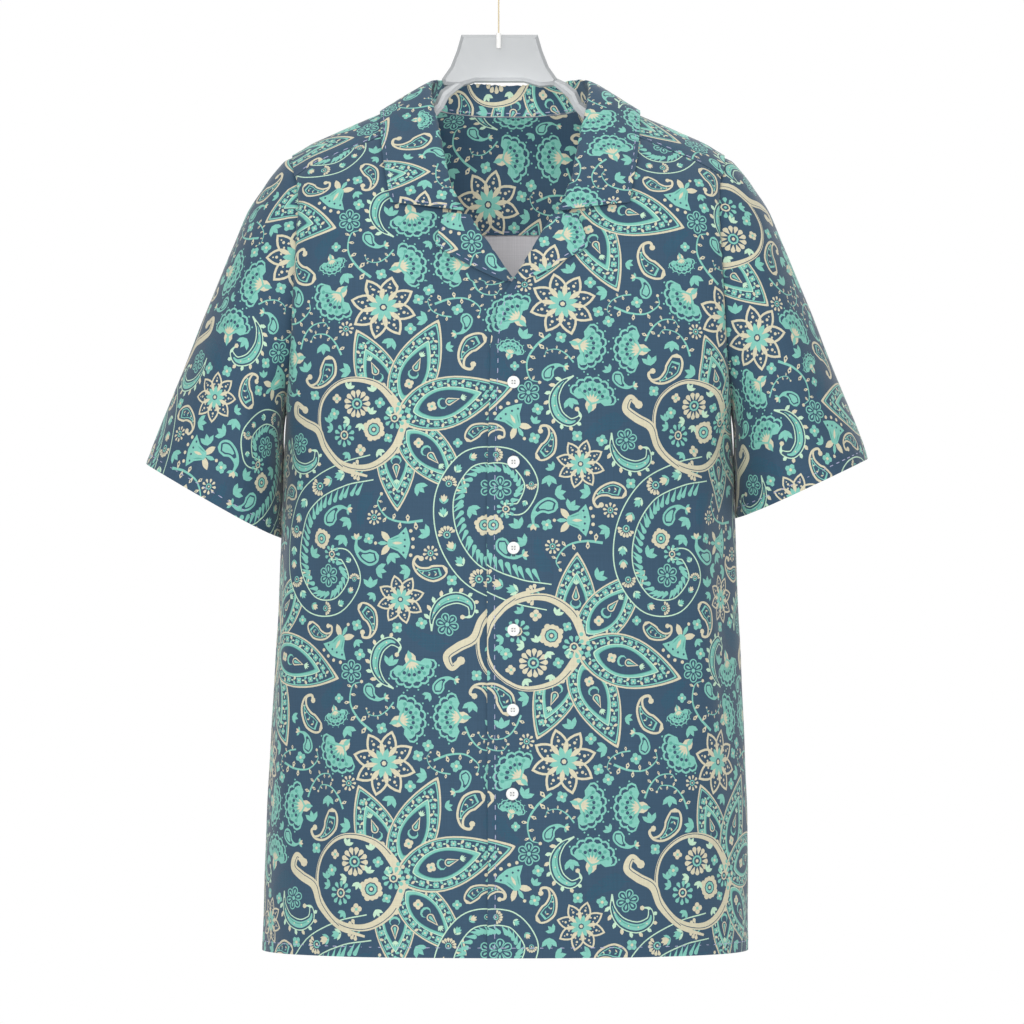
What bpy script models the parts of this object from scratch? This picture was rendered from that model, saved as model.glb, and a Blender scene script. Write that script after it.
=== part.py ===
"""Short-sleeved camp-collar shirt with six buttons, held by a grey hanging form.

Metres, +Z up, the wearer faces -Y. The origin is the top of the ring that the cord hangs from.
Garment points are worked out as (across, depth, height): across from the shirt's centre line,
depth from its shoulder ridge (minus is the front) and height above its hem.
"""
import math

import bmesh
import bpy
import numpy as np

# Placing
HANG_DROP = 0.8755          # hem up to the top of the ring
GARMENT_X = 0.0088          # the shirt's centre line hangs a little to one side of the cord
GARMENT_Y = 0.010           # its shoulder ridge lies behind the cord

# Cloth
WALL = 0.0012               # thickness of every cloth wall
SEAM_GAP = 0.0004           # clear space between two pieces at a seam
SQUARE = 0.85               # 1 is an ellipse, less is a squarer section
ROUNDING = 0.080            # drop over which the shoulders round off

# The body, from hem to collar: height, half width, front depth, back depth, sideways drift
BODY_ROWS = (
    (0.000, 0.2176, 0.148, 0.146, -0.0030),
    (0.098, 0.2160, 0.147, 0.145, -0.0015),
    (0.195, 0.2120, 0.144, 0.142, -0.0008),
    (0.292, 0.2070, 0.140, 0.138, 0.0),
    (0.368, 0.2036, 0.137, 0.135, 0.0),
    (0.427, 0.2020, 0.134, 0.133, 0.0),
    (0.4826, 0.1990, 0.130, 0.130, 0.0),
    (0.527, 0.1950, 0.126, 0.127, 0.0),
    (0.580, 0.1925, 0.119, 0.122, 0.0),
    (0.640, 0.1895, 0.105, 0.116, 0.0),
    (0.674, 0.1885, 0.093, 0.112, 0.0),
    (0.714, 0.1940, 0.070, 0.108, 0.0),
    (0.740, 0.1944, 0.055, 0.106, 0.0),
    (0.780, 0.1944, 0.040, 0.104, 0.0),
)
# The shoulder ridge: across, height
RIDGE_ROWS = (
    (0.000, 0.7786),
    (0.040, 0.7766),
    (0.072, 0.7671),
    (0.100, 0.7571),
    (0.126, 0.7460),
    (0.152, 0.7350),
    (0.176, 0.7244),
    (0.1944, 0.7136),
    (0.2300, 0.7136),
)
UNDERARM = 0.4826           # height of the armhole's lowest point
ARM_HALF = 0.1155           # half the armhole's height
ARM_DEPTH = 0.082           # half the armhole's depth
FORWARD_SEAM = 0.022        # drop of the forward shoulder seam below the ridge
BACK_SEAM = 0.6465          # height of the yoke seam across the back

# Soft vertical folds in the body: angle from the centre, half width in angle, depth,
# height of its deepest place, half length. A minus angle is towards the wearer's right.
FRONT_FOLDS = (
    (-66, 9, 0.0050, 0.30, 0.30),
    (-47, 8, -0.0030, 0.12, 0.20),
    (-30, 9, 0.0022, 0.02, 0.16),
    (52, 8, 0.0040, 0.26, 0.28),
    (70, 8, -0.0035, 0.36, 0.24),
    (28, 9, 0.0024, 0.04, 0.18),
)
BACK_FOLDS = (
    (-62, 9, 0.0050, 0.28, 0.30),
    (-36, 10, -0.0038, 0.10, 0.26),
    (-12, 10, 0.0034, 0.22, 0.30),
    (16, 9, -0.0030, 0.08, 0.22),
    (42, 10, 0.0042, 0.24, 0.30),
    (66, 8, 0.0036, 0.34, 0.24),
)

# Inner edge of a front, from hem to shoulder: height, how far the button edge passes the centre
BUTTON_EDGE_ROWS = (
    (0.000, 0.0205),
    (0.520, 0.0205),
    (0.553, 0.0191),
    (0.5665, 0.0162),
    (0.582, 0.0126),
    (0.589, 0.0067),
    (0.5978, 0.0010),
)
BUTTON_LINE = 0.0045        # the button line's place beside the centre line
V_HEIGHT = 0.5978           # height of the V's lowest point
NECK_WIDEST = 0.070         # across, where the forward shoulder seam meets the neck
# Neck edge of a front above the V: height, across
NECK_EDGE_ROWS = (
    (0.5978, 0.0020),
    (0.6180, 0.0155),
    (0.6379, 0.0275),
    (0.6605, 0.0440),
    (0.6720, 0.0514),
    (0.6850, 0.0565),
    (0.7124, 0.0622),
    (0.7380, 0.0674),
    (0.7500, 0.0712),
)
# Neckline on the yoke, from the middle of the back to the front: across, signed root of the drop
NECKLINE_ROWS = (
    (0.0000, -0.158),
    (0.0330, -0.152),
    (0.0595, -0.118),
    (0.0722, -0.060),
    (0.0752, 0.000),
    (0.0735, 0.080),
    (0.0718, 0.1455),
)
YOKE_HALF = 0.1890          # half the yoke's width
YOKE_NECK_PART = 0.43       # share of the yoke's columns that end on the neckline
YOKE_LOW_NECK = 0.130       # where the last of these starts on the back seam
OVERLAP_SHIFT = 0.0010      # each front moves this far out or in where they overlap

# Collar, from the middle of the back round to a leaf's end. The roll line: across, depth, height
ROLL_ROWS = (
    (0.0000, 0.0710, 0.7804),
    (0.0300, 0.0655, 0.7817),
    (0.0540, 0.0460, 0.7832),
    (0.0680, 0.0180, 0.7820),
    (0.0717, -0.0080, 0.7755),
    (0.0695, -0.0320, 0.7590),
    (0.0640, -0.0550, 0.7360),
    (0.0590, -0.0752, 0.7110),
    (0.0530, -0.0925, 0.6850),
    (0.0400, -0.1035, 0.6590),
)
# Its foot on the neckline: across, signed root of the drop below the ridge
FOOT_ROWS = (
    (0.0000, -0.158),
    (0.0330, -0.152),
    (0.0595, -0.118),
    (0.0706, -0.060),
    (0.0736, 0.000),
    (0.0718, 0.080),
    (0.0654, 0.176),
    (0.0603, 0.242),
    (0.0546, 0.296),
    (0.0422, 0.342),
)
# Its outer edge: across, signed root of the drop
EDGE_ROWS = (
    (0.0000, -0.250),
    (0.0500, -0.237),
    (0.0830, -0.190),
    (0.1040, -0.117),
    (0.1143, 0.000),
    (0.1150, 0.115),
    (0.1140, 0.180),
    (0.1120, 0.225),
    (0.1090, 0.262),
    (0.1060, 0.296),
)
COLLAR_LIFT = 0.0034        # the leaf's edge above the cloth beneath
COLLAR_BULGE = 0.0026       # how far a leaf arches between roll and edge
FOOT_GAP = 0.0014           # the collar's foot above the neckline

# Lapels, from the notch down to the V: roll line across, height, then outer edge across, height
LAPEL_ROWS = (
    (0.0380, 0.6572, 0.0595, 0.6592),
    (0.0345, 0.6500, 0.0683, 0.6290),
    (0.0270, 0.6390, 0.0510, 0.6190),
    (0.0180, 0.6240, 0.0341, 0.6094),
    (0.0090, 0.6100, 0.0200, 0.6025),
    (0.0022, 0.6000, 0.0065, 0.5968),
)
LAPEL_LIFT = 0.0032

# Sleeves: the upper outline from the shoulder to the cuff: across, height
SLEEVE_TOP_ROWS = (
    (0.1944, 0.7136),
    (0.2043, 0.7028),
    (0.2133, 0.6920),
    (0.2205, 0.6812),
    (0.2277, 0.6704),
    (0.2336, 0.6596),
    (0.2426, 0.6380),
    (0.2520, 0.6164),
    (0.2655, 0.5840),
    (0.2826, 0.5408),
    (0.2997, 0.4976),
    (0.3150, 0.4590),
)
# and the under side: across, height
SLEEVE_UNDER_ROWS = (
    (0.1990, 0.4826),
    (0.2046, 0.4560),
    (0.2068, 0.4250),
)
CUFF_ROWS = {               # outer end across, height, inner end across, height
    "sleeve_right": (-1, 0.3236, 0.4364, 0.2078, 0.3700),
    "sleeve_left": (1, 0.3209, 0.4409, 0.2078, 0.3878),
}
CUFF_DEPTH = 0.073
SLEEVE_GAP = 0.0017
# Soft folds across a sleeve: angle round it, half width in angle, depth, place along, half length
SLEEVE_FOLDS = (
    (58, 16, 0.0040, 0.45, 0.42),
    (104, 14, 0.0050, 0.62, 0.40),
    (140, 12, -0.0030, 0.80, 0.30),
    (232, 15, 0.0045, 0.60, 0.40),
    (292, 16, 0.0040, 0.50, 0.40),
)

# Buttons
BUTTON_HEIGHTS = (0.5080, 0.4374, 0.3615, 0.2892, 0.2187, 0.1447)
BUTTON_RADIUS = 0.0055
BUTTON_THICK = 0.0024
BUTTON_CLEAR = 0.0004

# Hanging form, outlines of one half in front view: across and height. The neck block's is
# measured from the block's middle, the arm's from the shirt's centre line.
FORM_X = 0.0008             # the block's middle beside the cord
FORM_FRONT = 0.0026         # depth of its front face behind the cord
FORM_BACK = 0.0360
FORM_CHAMFER = 0.0030
BLOCK_OUTLINE = (
    (0.0343, 0.8225),
    (0.0385, 0.8080),
    (0.0440, 0.7940),
    (0.0520, 0.7825),
    (0.0500, 0.7775),
    (0.0360, 0.7765),
    (0.0220, 0.7808),
)
ARM_FRONT, ARM_BACK = 0.0036, 0.0200
ARM_OUTLINE = (
    (0.0400, 0.7850),
    (0.0520, 0.7795),
    (0.0615, 0.7720),
    (0.0660, 0.7620),
    (0.0760, 0.7545),
    (0.1000, 0.7450),
    (0.1260, 0.7335),
    (0.1500, 0.7230),
    (0.1640, 0.7120),
    (0.1680, 0.7030),
    (0.1620, 0.6970),
    (0.1400, 0.7050),
    (0.1100, 0.7200),
    (0.0850, 0.7350),
    (0.0700, 0.7440),
    (0.0590, 0.7560),
    (0.0540, 0.7660),
    (0.0460, 0.7730),
    (0.0380, 0.7790),
)
TUBE_RADIUS = 0.0023
TUBE_BOTTOM, TUBE_TOP = 0.8099, 0.8236
TUBE_DEPTH = 0.006          # how deep the cord sits in the tube
CORD_POINTS = 14
CORD_RADIUS = 0.0008
CORD_TOP = 0.8585
TOUCH_GAP = 0.0003          # between pieces that touch
KNOT_RADIUS = 0.0021
RING_RADIUS, RING_WIRE = 0.0048, 0.0011

CLOTH = (0.075, 0.12, 0.19, 1.0)
WHITE = (0.90, 0.90, 0.88, 1.0)
GREY = (0.60, 0.62, 0.65, 1.0)
CREAM = (0.78, 0.72, 0.58, 1.0)


# ---------------------------------------------------------------- curves and sections
def follow(rows, key, column, at):
    """Smooth curve through two columns of a table, read at one value or many."""
    xs = np.array([row[key] for row in rows])
    ys = np.array([row[column] for row in rows])
    at = np.clip(at, xs[0], xs[-1])
    slope = np.gradient(ys, xs)
    i = np.clip(np.searchsorted(xs, at, side="right") - 1, 0, len(xs) - 2)
    step = xs[i + 1] - xs[i]
    t = (at - xs[i]) / step
    return ((2 * t**3 - 3 * t**2 + 1) * ys[i] + (t**3 - 2 * t**2 + t) * step * slope[i]
            + (3 * t**2 - 2 * t**3) * ys[i + 1] + (t**3 - t**2) * step * slope[i + 1])


def along(rows, columns, at):
    """A point on the curve through a table's rows, evenly numbered from 0 to 1."""
    numbered = [(k / (len(rows) - 1), *row) for k, row in enumerate(rows)]
    return [follow(numbered, 0, column + 1, at) for column in columns]


def ridge(across):
    return follow(RIDGE_ROWS, 0, 1, np.abs(across))


def fade(x):
    """1 at 0, falling smoothly to 0 at 1 and beyond."""
    t = np.clip(1 - np.abs(x), 0, 1)
    return t * t * (3 - 2 * t)


def folds(rows, angle, place):
    """How far the folds of a table push the cloth out."""
    push = 0
    for at, half, depth, deepest, length in rows:
        push = push + depth * fade((angle - at) / half / 1.6) * fade((place - deepest) / length)
    return push


def body_depth(angle, height, across, side):
    """Depth of the body's surface at an angle (90 degrees is its side) and a height."""
    drop = np.maximum(ridge(across) - height, 0)
    arm = ARM_DEPTH * np.sqrt(np.clip(1 - (1 - drop / ARM_HALF) ** 2, 0, 1))
    arm = np.where(drop < 2 * ARM_HALF, arm, 0)
    rounding = np.sqrt(1 - (1 - np.clip(drop / ROUNDING, 0, 1)) ** 2)
    middle = follow(BODY_ROWS, 0, 2 if side < 0 else 3, height) * rounding
    full = np.abs(np.cos(angle)) ** SQUARE
    return (1 - full) * arm + full * middle


def body_point(angle, height, side):
    """Point of the body at an angle from the centre, a height, and a side (-1 is the front)."""
    across = (follow(BODY_ROWS, 0, 1, height)
              * np.sign(angle) * np.abs(np.sin(angle)) ** SQUARE)
    depth = body_depth(angle, height, across, side)
    rows = FRONT_FOLDS if side < 0 else BACK_FOLDS
    fold = folds(rows, np.degrees(angle), height) * fade((height - 0.2) / 0.42)
    scale = 1 + fold / 0.16
    across = across * scale + follow(BODY_ROWS, 0, 4, height)
    return np.stack([across, side * (depth * scale + SEAM_GAP / 2), height + 0 * depth], -1)


def body_angle(across, height):
    """The angle at which the body lies this far across."""
    part = np.clip(np.abs(across) / follow(BODY_ROWS, 0, 1, height), 0, 1)
    return np.sign(across) * np.arcsin(part ** (1 / SQUARE))


def shoulder_point(across, root):
    """Point near the shoulder ridge: root is the signed root of the drop, plus at the front."""
    height = ridge(across) - root ** 2
    angle = body_angle(across, height)
    front = body_depth(angle, height, across, -1)
    back = body_depth(angle, height, across, 1)
    return np.stack([across + 0 * root, np.where(root > 0, -front, back), height], -1)


def shoulder_normal(across, root):
    """Outward normal near the ridge, from small steps."""
    step = 0.002
    over = shoulder_point(across + step, root) - shoulder_point(across - step, root)
    down = shoulder_point(across, root + step) - shoulder_point(across, root - step)
    normal = np.cross(down, over)
    return normal / np.linalg.norm(normal, axis=-1, keepdims=True)


def even(curve, count):
    """Places from 0 to 1 that are evenly spaced along a curve given as a function."""
    fine = np.linspace(0, 1, 400)
    points = curve(fine)
    length = np.concatenate([[0], np.cumsum(np.linalg.norm(np.diff(points, axis=0), axis=1))])
    return np.interp(np.linspace(0, length[-1], count), length, fine)


# ---------------------------------------------------------------- grids of the cloth pieces
def front_grid(hand, columns=14, low_rows=15, middle_rows=6, high_rows=9):
    """Grid of one front. hand -1 is the wearer's right, which lies under the other."""
    top = ridge(NECK_WIDEST) - FORWARD_SEAM - SEAM_GAP
    inner = np.concatenate([np.linspace(0, UNDERARM, low_rows)[:-1],
                            np.linspace(UNDERARM, V_HEIGHT, middle_rows),
                            np.linspace(V_HEIGHT, top, high_rows)[1:]])
    climb = np.clip((inner - UNDERARM) / (top - UNDERARM), 0, 1)[:, None]
    past = BUTTON_LINE * hand - follow(BUTTON_EDGE_ROWS, 0, 1, inner)
    neck = BUTTON_LINE * hand * 0.3 + follow(NECK_EDGE_ROWS, 0, 1, inner)
    start = body_angle(np.where(inner <= V_HEIGHT + 1e-6, past, neck), inner)[:, None]
    spread = even(lambda t: body_point(t * math.pi / 2, 0.3 + 0 * t, -1), columns)[None, :]
    angle = start + (math.pi / 2 - start) * spread
    across = BODY_ROWS[0][1] * np.abs(np.sin(angle)) ** SQUARE
    seam = ridge(np.maximum(across, NECK_WIDEST))
    for _ in range(3):
        height = inner[:, None] + climb * (seam - FORWARD_SEAM - SEAM_GAP - top)
        across = follow(BODY_ROWS, 0, 1, height) * np.abs(np.sin(angle)) ** SQUARE
        seam = ridge(np.maximum(across, NECK_WIDEST))
    grid = body_point(angle * hand, height, -1)
    overlap = fade(np.maximum(angle - 0.15, 0) / 0.30) * fade(np.maximum(height - 0.60, 0) / 0.06)
    grid[..., 1] -= hand * OVERLAP_SHIFT * overlap
    return grid


def back_grid(columns=25, low_rows=15, high_rows=7):
    spread = even(lambda t: body_point((t - 0.5) * math.pi, 0.3 + 0 * t, 1), columns)
    angle = (spread - 0.5) * math.pi
    height = np.concatenate([np.linspace(0, UNDERARM, low_rows)[:-1],
                             np.linspace(UNDERARM, BACK_SEAM - SEAM_GAP, high_rows)])
    return body_point(angle[None, :], height[:, None], 1)


def yoke_grid(columns=29, rows=12, inward=0.0):
    """Grid of the yoke, from the back seam to the neckline and the forward shoulder seams."""
    u = np.linspace(-1, 1, columns)
    part = np.clip(np.abs(u) / YOKE_NECK_PART, 0, 1)
    beyond = np.clip((np.abs(u) - YOKE_NECK_PART) / (1 - YOKE_NECK_PART), 0, 1)
    neck_across, neck_root = along(NECKLINE_ROWS, (0, 1), part)
    top_across = neck_across + beyond * (YOKE_HALF - neck_across)
    top_root = np.where(beyond > 0, math.sqrt(FORWARD_SEAM) - SEAM_GAP, neck_root)
    low_across = YOKE_LOW_NECK * part ** 0.8 + beyond * (YOKE_HALF - YOKE_LOW_NECK)
    low_root = -np.sqrt(ridge(low_across) - BACK_SEAM - SEAM_GAP)
    v = np.linspace(0, 1, rows)[:, None]
    across = low_across + (top_across - low_across) * v
    root = low_root + (top_root - low_root) * v
    armhole = follow(BODY_ROWS, 0, 1, ridge(across) - root ** 2)
    swing = np.clip((across - 0.13) / (YOKE_HALF - 0.13), 0, 1)
    across = across + (armhole - YOKE_HALF) * swing
    grid = shoulder_point(across, root) - shoulder_normal(across, root) * inward
    grid[..., 0] *= np.where(u < 0, -1, 1)[None, :]
    return grid


def armhole_point(theta):
    """Point of the armhole: theta 0 is the shoulder, 90 degrees the front, 180 the underarm."""
    drop = ARM_HALF * (1 - np.cos(theta))
    height = 0.7136 - drop
    return np.stack([follow(BODY_ROWS, 0, 1, height), -ARM_DEPTH * np.sin(theta), height], -1)


def sleeve_grid(name, around=24, rows=12):
    hand, out_x, out_z, in_x, in_z = CUFF_ROWS[name]
    top_rows = SLEEVE_TOP_ROWS + ((out_x, out_z),)
    under_rows = SLEEVE_UNDER_ROWS + ((in_x, in_z),)
    v = np.linspace(0, 1, rows)
    top_at = even(lambda t: np.stack(along(top_rows, (0, 1), t), -1), rows)
    under_at = even(lambda t: np.stack(along(under_rows, (0, 1), t), -1), rows)
    top = np.stack(along(top_rows, (0, 1), top_at), -1)[:, None, :]
    under = np.stack(along(under_rows, (0, 1), under_at), -1)[:, None, :]
    theta = np.linspace(0, 2 * math.pi, around, endpoint=False)[None, :]
    middle, half = (top + under) / 2, (top - under) / 2
    flat = middle + half * np.cos(theta)[..., None]
    depth = ARM_DEPTH + (CUFF_DEPTH - ARM_DEPTH) * v[:, None]
    push = folds(SLEEVE_FOLDS, np.degrees(theta), v[:, None])
    grid = np.stack([flat[..., 0], -(depth + push) * np.sin(theta), flat[..., 1]], -1)
    start = armhole_point(theta[0])
    keep = np.clip(1 - v / 0.45, 0, 1)[:, None, None] ** 2
    grid = grid + (start - grid[0])[None] * keep
    grid[..., 0] += SLEEVE_GAP
    grid[..., 0] *= hand
    return grid


def spline(points, at):
    """Smooth curve through a list of point arrays, evenly numbered from 0 to 1."""
    count = len(points) - 1
    place = min(at * count, count - 1e-9)
    i = int(place)
    t = place - i
    before = points[max(i - 1, 0)]
    after = points[min(i + 2, count)]
    first = (points[i + 1] - before) / 2
    last = (after - points[i]) / 2
    return ((2 * t**3 - 3 * t**2 + 1) * points[i] + (t**3 - 2 * t**2 + t) * first
            + (3 * t**2 - 2 * t**3) * points[i + 1] + (t**3 - t**2) * last)


def collar_grid(columns=39, rows=9):
    """Grid of the collar, across from one leaf's end to the other, up from foot to roll to edge."""
    u = np.linspace(-1, 1, columns)
    at = np.abs(u)
    roll = np.stack(along(ROLL_ROWS, (0, 1, 2), at), -1)
    foot_across, foot_root = along(FOOT_ROWS, (0, 1), at)
    foot = shoulder_point(foot_across, foot_root)
    rise = roll - foot
    foot = foot + rise / np.linalg.norm(rise, axis=-1, keepdims=True) * FOOT_GAP
    edge_across, edge_root = along(EDGE_ROWS, (0, 1), at)
    out = shoulder_normal(edge_across, edge_root)
    edge = shoulder_point(edge_across, edge_root) + out * COLLAR_LIFT
    stand = foot + (roll - foot) * 0.55 - out * 0.0006
    brow = roll + (edge - roll) * 0.14 + out * COLLAR_BULGE
    arch = roll + (edge - roll) * 0.50 + out * COLLAR_BULGE
    rails = [foot, stand, roll, brow, arch, edge]
    grid = np.stack([spline(rails, w) for w in np.linspace(0, 1, rows)])
    grid[..., 0] *= np.where(u < 0, -1, 1)[None, :]
    grid[..., 0] += 0.0015
    return grid


def lapel_grid(hand, columns=11, rows=4):
    """Grid of one lapel, from the notch down to the V, out from the roll line to its edge."""
    t = np.linspace(0, 1, columns)
    stations = np.linspace(0, 1, len(LAPEL_ROWS))
    roll_x, roll_z, edge_x, edge_z = (np.interp(t, stations, column) for column in zip(*LAPEL_ROWS))
    w = np.linspace(0, 1, rows)[:, None]
    across = roll_x + (edge_x - roll_x) * w
    height = roll_z + (edge_z - roll_z) * w
    surface = body_point(body_angle(across, height), height, -1)
    lift = LAPEL_LIFT + 0.0014 * (1 - w) ** 2
    grid = surface + np.stack([0 * lift, -lift, 0 * lift], -1)
    grid[..., 0] = grid[..., 0] * hand + 0.0015 + 0.0025 * fade((height - 0.5978) / 0.08)
    return grid


# ---------------------------------------------------------------- objects
def material(name, colour, roughness, metallic=0.0):
    made = bpy.data.materials.new(name)
    made.use_nodes = True
    shader = made.node_tree.nodes["Principled BSDF"]
    shader.inputs["Base Color"].default_value = colour
    shader.inputs["Roughness"].default_value = roughness
    shader.inputs["Metallic"].default_value = metallic
    return made


def place(points):
    """From garment points to the part's own frame."""
    return np.asarray(points) + np.array([GARMENT_X, GARMENT_Y, -HANG_DROP])


def new_object(name, mesh, finish, collection):
    mesh.materials.append(finish)
    mesh.shade_smooth()
    mesh.set_sharp_from_angle(angle=math.radians(40))
    made = bpy.data.objects.new(name, mesh)
    collection.objects.link(made)
    return made


def cloth(name, grid, finish, collection, closed=False, thickness=WALL):
    """A cloth wall on a grid of garment points, half its thickness to each side."""
    rows, columns = grid.shape[:2]
    mesh = bpy.data.meshes.new(name)
    work = bmesh.new()
    verts = [work.verts.new(point) for point in place(grid).reshape(-1, 3)]
    for i in range(rows - 1):
        for j in range(columns if closed else columns - 1):
            k = (j + 1) % columns
            work.faces.new([verts[i * columns + j], verts[i * columns + k],
                            verts[(i + 1) * columns + k], verts[(i + 1) * columns + j]])
    bmesh.ops.recalc_face_normals(work, faces=work.faces)
    work.to_mesh(mesh)
    work.free()
    made = new_object(name, mesh, finish, collection)
    wall = made.modifiers.new("Wall", "SOLIDIFY")
    wall.thickness = thickness
    wall.offset = 0
    wall.use_even_offset = True
    return made


def turned(name, profile, centre, axis_turn, finish, collection, steps=20):
    """A turned piece: profile of (radius, along) run from top to bottom on its outer side."""
    mesh = bpy.data.meshes.new(name)
    mesh.from_pydata([(radius, 0, along_axis) for radius, along_axis in profile],
                     [(k, k + 1) for k in range(len(profile) - 1)], [])
    made = new_object(name, mesh, finish, collection)
    screw = made.modifiers.new("Turn", "SCREW")
    screw.steps = screw.render_steps = steps
    screw.use_merge_vertices = True
    screw.merge_threshold = 0.00001
    made.location = centre
    made.rotation_euler = axis_turn
    return made


def tube_curve(name, points, radius, finish, collection):
    """A solid round cord through points."""
    curve = bpy.data.curves.new(name, "CURVE")
    curve.dimensions = "3D"
    run = curve.splines.new("POLY")
    run.points.add(len(points) - 1)
    for spot, point in zip(run.points, points):
        spot.co = (*point, 1)
    curve.bevel_depth = radius
    curve.bevel_resolution = 2
    curve.use_fill_caps = True
    curve.materials.append(finish)
    made = bpy.data.objects.new(name, curve)
    collection.objects.link(made)
    return made


def buttons(finish, collection):
    """Six buttons on the upper front's button line, each flat on the cloth."""
    half = BUTTON_THICK / 2
    profile = ((0.0, half - 0.0006), (0.0032, half - 0.0006), (0.0040, half),
               (0.0050, half - 0.0001), (BUTTON_RADIUS, 0.0), (0.0048, -half), (0.0, -half))
    for number, height in enumerate(BUTTON_HEIGHTS, 1):
        angle = body_angle(np.array(BUTTON_LINE), height)
        surface = body_point(angle, np.array(height), -1)
        out = OVERLAP_SHIFT + WALL / 2 + BUTTON_CLEAR + half
        centre = place(surface - np.array([0, out, 0]))
        turned(f"button_{number}", profile, centre, (math.pi / 2, 0, 0), finish, collection)


def plate(name, outline, front, back, finish, collection):
    """A moulded plate with chamfered edges, from its outline in front view."""
    curve = bpy.data.curves.new(name, "CURVE")
    curve.dimensions = "2D"
    curve.fill_mode = "BOTH"
    run = curve.splines.new("POLY")
    run.points.add(len(outline) - 1)
    for spot, (x, z) in zip(run.points, outline):
        spot.co = (x, z - HANG_DROP, 0, 1)
    run.use_cyclic_u = True
    curve.bevel_depth = FORM_CHAMFER
    curve.bevel_resolution = 0
    curve.offset = -FORM_CHAMFER
    curve.extrude = (back - front) / 2 - FORM_CHAMFER
    guide = bpy.data.objects.new(name + "_outline", curve)
    collection.objects.link(guide)
    guide.location = (0, (front + back) / 2, 0)
    guide.rotation_euler = (math.pi / 2, 0, 0)
    bpy.context.view_layer.update()
    mesh = bpy.data.meshes.new_from_object(
        guide.evaluated_get(bpy.context.evaluated_depsgraph_get()))
    work = bmesh.new()
    work.from_mesh(mesh)
    bmesh.ops.remove_doubles(work, verts=work.verts, dist=0.00001)
    bmesh.ops.recalc_face_normals(work, faces=work.faces)
    work.to_mesh(mesh)
    work.free()
    mesh.materials.clear()
    made = new_object(name, mesh, finish, collection)
    made.matrix_world = guide.matrix_world
    bpy.data.objects.remove(guide)
    return made


def hanging_form(finish, collection, cutters):
    """The grey form: a flat-topped neck block with an arch below and an arm to each shoulder."""
    outline = [(FORM_X + x, z) for x, z in BLOCK_OUTLINE]
    outline += [(FORM_X - x, z) for x, z in reversed(BLOCK_OUTLINE)]
    block = plate("hanger", outline, FORM_FRONT, FORM_BACK, finish, collection)
    for hand in (-1, 1):
        outline = [(GARMENT_X + hand * x, z) for x, z in ARM_OUTLINE]
        arm = plate(f"hanger_arm_{hand + 1}", outline, ARM_FRONT, ARM_BACK, finish, cutters)
        arm.hide_render = True
        arm.display_type = "WIRE"
        join = block.modifiers.new("Arm", "BOOLEAN")
        join.operation = "UNION"
        join.object = arm


def hanging_parts(white, cream, grey, collection):
    """White tube on the form's front, the taut cord out of it, its knot and the ring above."""
    top = TUBE_TOP - HANG_DROP
    bottom = TUBE_BOTTOM - HANG_DROP
    bore = CORD_RADIUS + TOUCH_GAP
    floor = top - TUBE_DEPTH
    turned("hanger_tube", ((0.0, floor), (bore, floor), (bore, top), (TUBE_RADIUS, top),
                           (TUBE_RADIUS, bottom), (0.0, bottom)),
           (0, 0, 0), (0, 0, 0), white, collection, steps=16)
    cord_top = CORD_TOP - HANG_DROP
    run = [(0, 0, z) for z in np.linspace(floor + TOUCH_GAP, cord_top, CORD_POINTS)]
    tube_curve("cord", run, CORD_RADIUS, cream, collection)
    turn = np.linspace(math.pi / 2, -math.pi / 2, 9)
    knot = [(KNOT_RADIUS * max(math.cos(a), 0), KNOT_RADIUS * math.sin(a)) for a in turn]
    turned("knot", knot, (0, 0, cord_top + TOUCH_GAP + KNOT_RADIUS), (0, 0, 0), cream, collection, 12)
    bpy.ops.mesh.primitive_torus_add(
        major_radius=RING_RADIUS, minor_radius=RING_WIRE, major_segments=28, minor_segments=8,
        location=(0, 0, -RING_RADIUS - RING_WIRE), rotation=(math.pi / 2, 0, 0))
    ring = bpy.context.object
    ring.name = "hang_ring"
    ring.data.materials.append(grey)
    ring.data.shade_smooth()
    for home in list(ring.users_collection):
        home.objects.unlink(ring)
    collection.objects.link(ring)


def build():
    for old in list(bpy.data.objects):
        bpy.data.objects.remove(old)
    collection = bpy.data.collections.new("hawaiian_shirt")
    bpy.context.scene.collection.children.link(collection)
    cutters = bpy.data.collections.new("cutters")
    bpy.context.scene.collection.children.link(cutters)
    print_cloth = material("printed_cloth", CLOTH, 0.8)
    white = material("button_white", WHITE, 0.3)
    grey = material("form_grey", GREY, 0.4)
    cream = material("cord_cream", CREAM, 0.8)
    cloth("front_right", front_grid(-1), print_cloth, collection)
    cloth("front_left", front_grid(1), print_cloth, collection)
    cloth("back", back_grid(), print_cloth, collection)
    cloth("yoke", yoke_grid(), print_cloth, collection)
    cloth("inner_yoke", yoke_grid(inward=0.0022), print_cloth, collection, thickness=0.0010)
    for name in CUFF_ROWS:
        cloth(name, sleeve_grid(name), print_cloth, collection, closed=True)
    cloth("collar", collar_grid(), print_cloth, collection)
    cloth("lapel_right", lapel_grid(-1), print_cloth, collection)
    cloth("lapel_left", lapel_grid(1), print_cloth, collection)
    buttons(white, collection)
    hanging_form(grey, collection, cutters)
    hanging_parts(white, cream, grey, collection)


build()
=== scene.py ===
import math

import bmesh
import bpy
import numpy as np
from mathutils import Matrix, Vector
from mathutils.bvhtree import BVHTree
from mathutils.geometry import delaunay_2d_cdt


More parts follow.
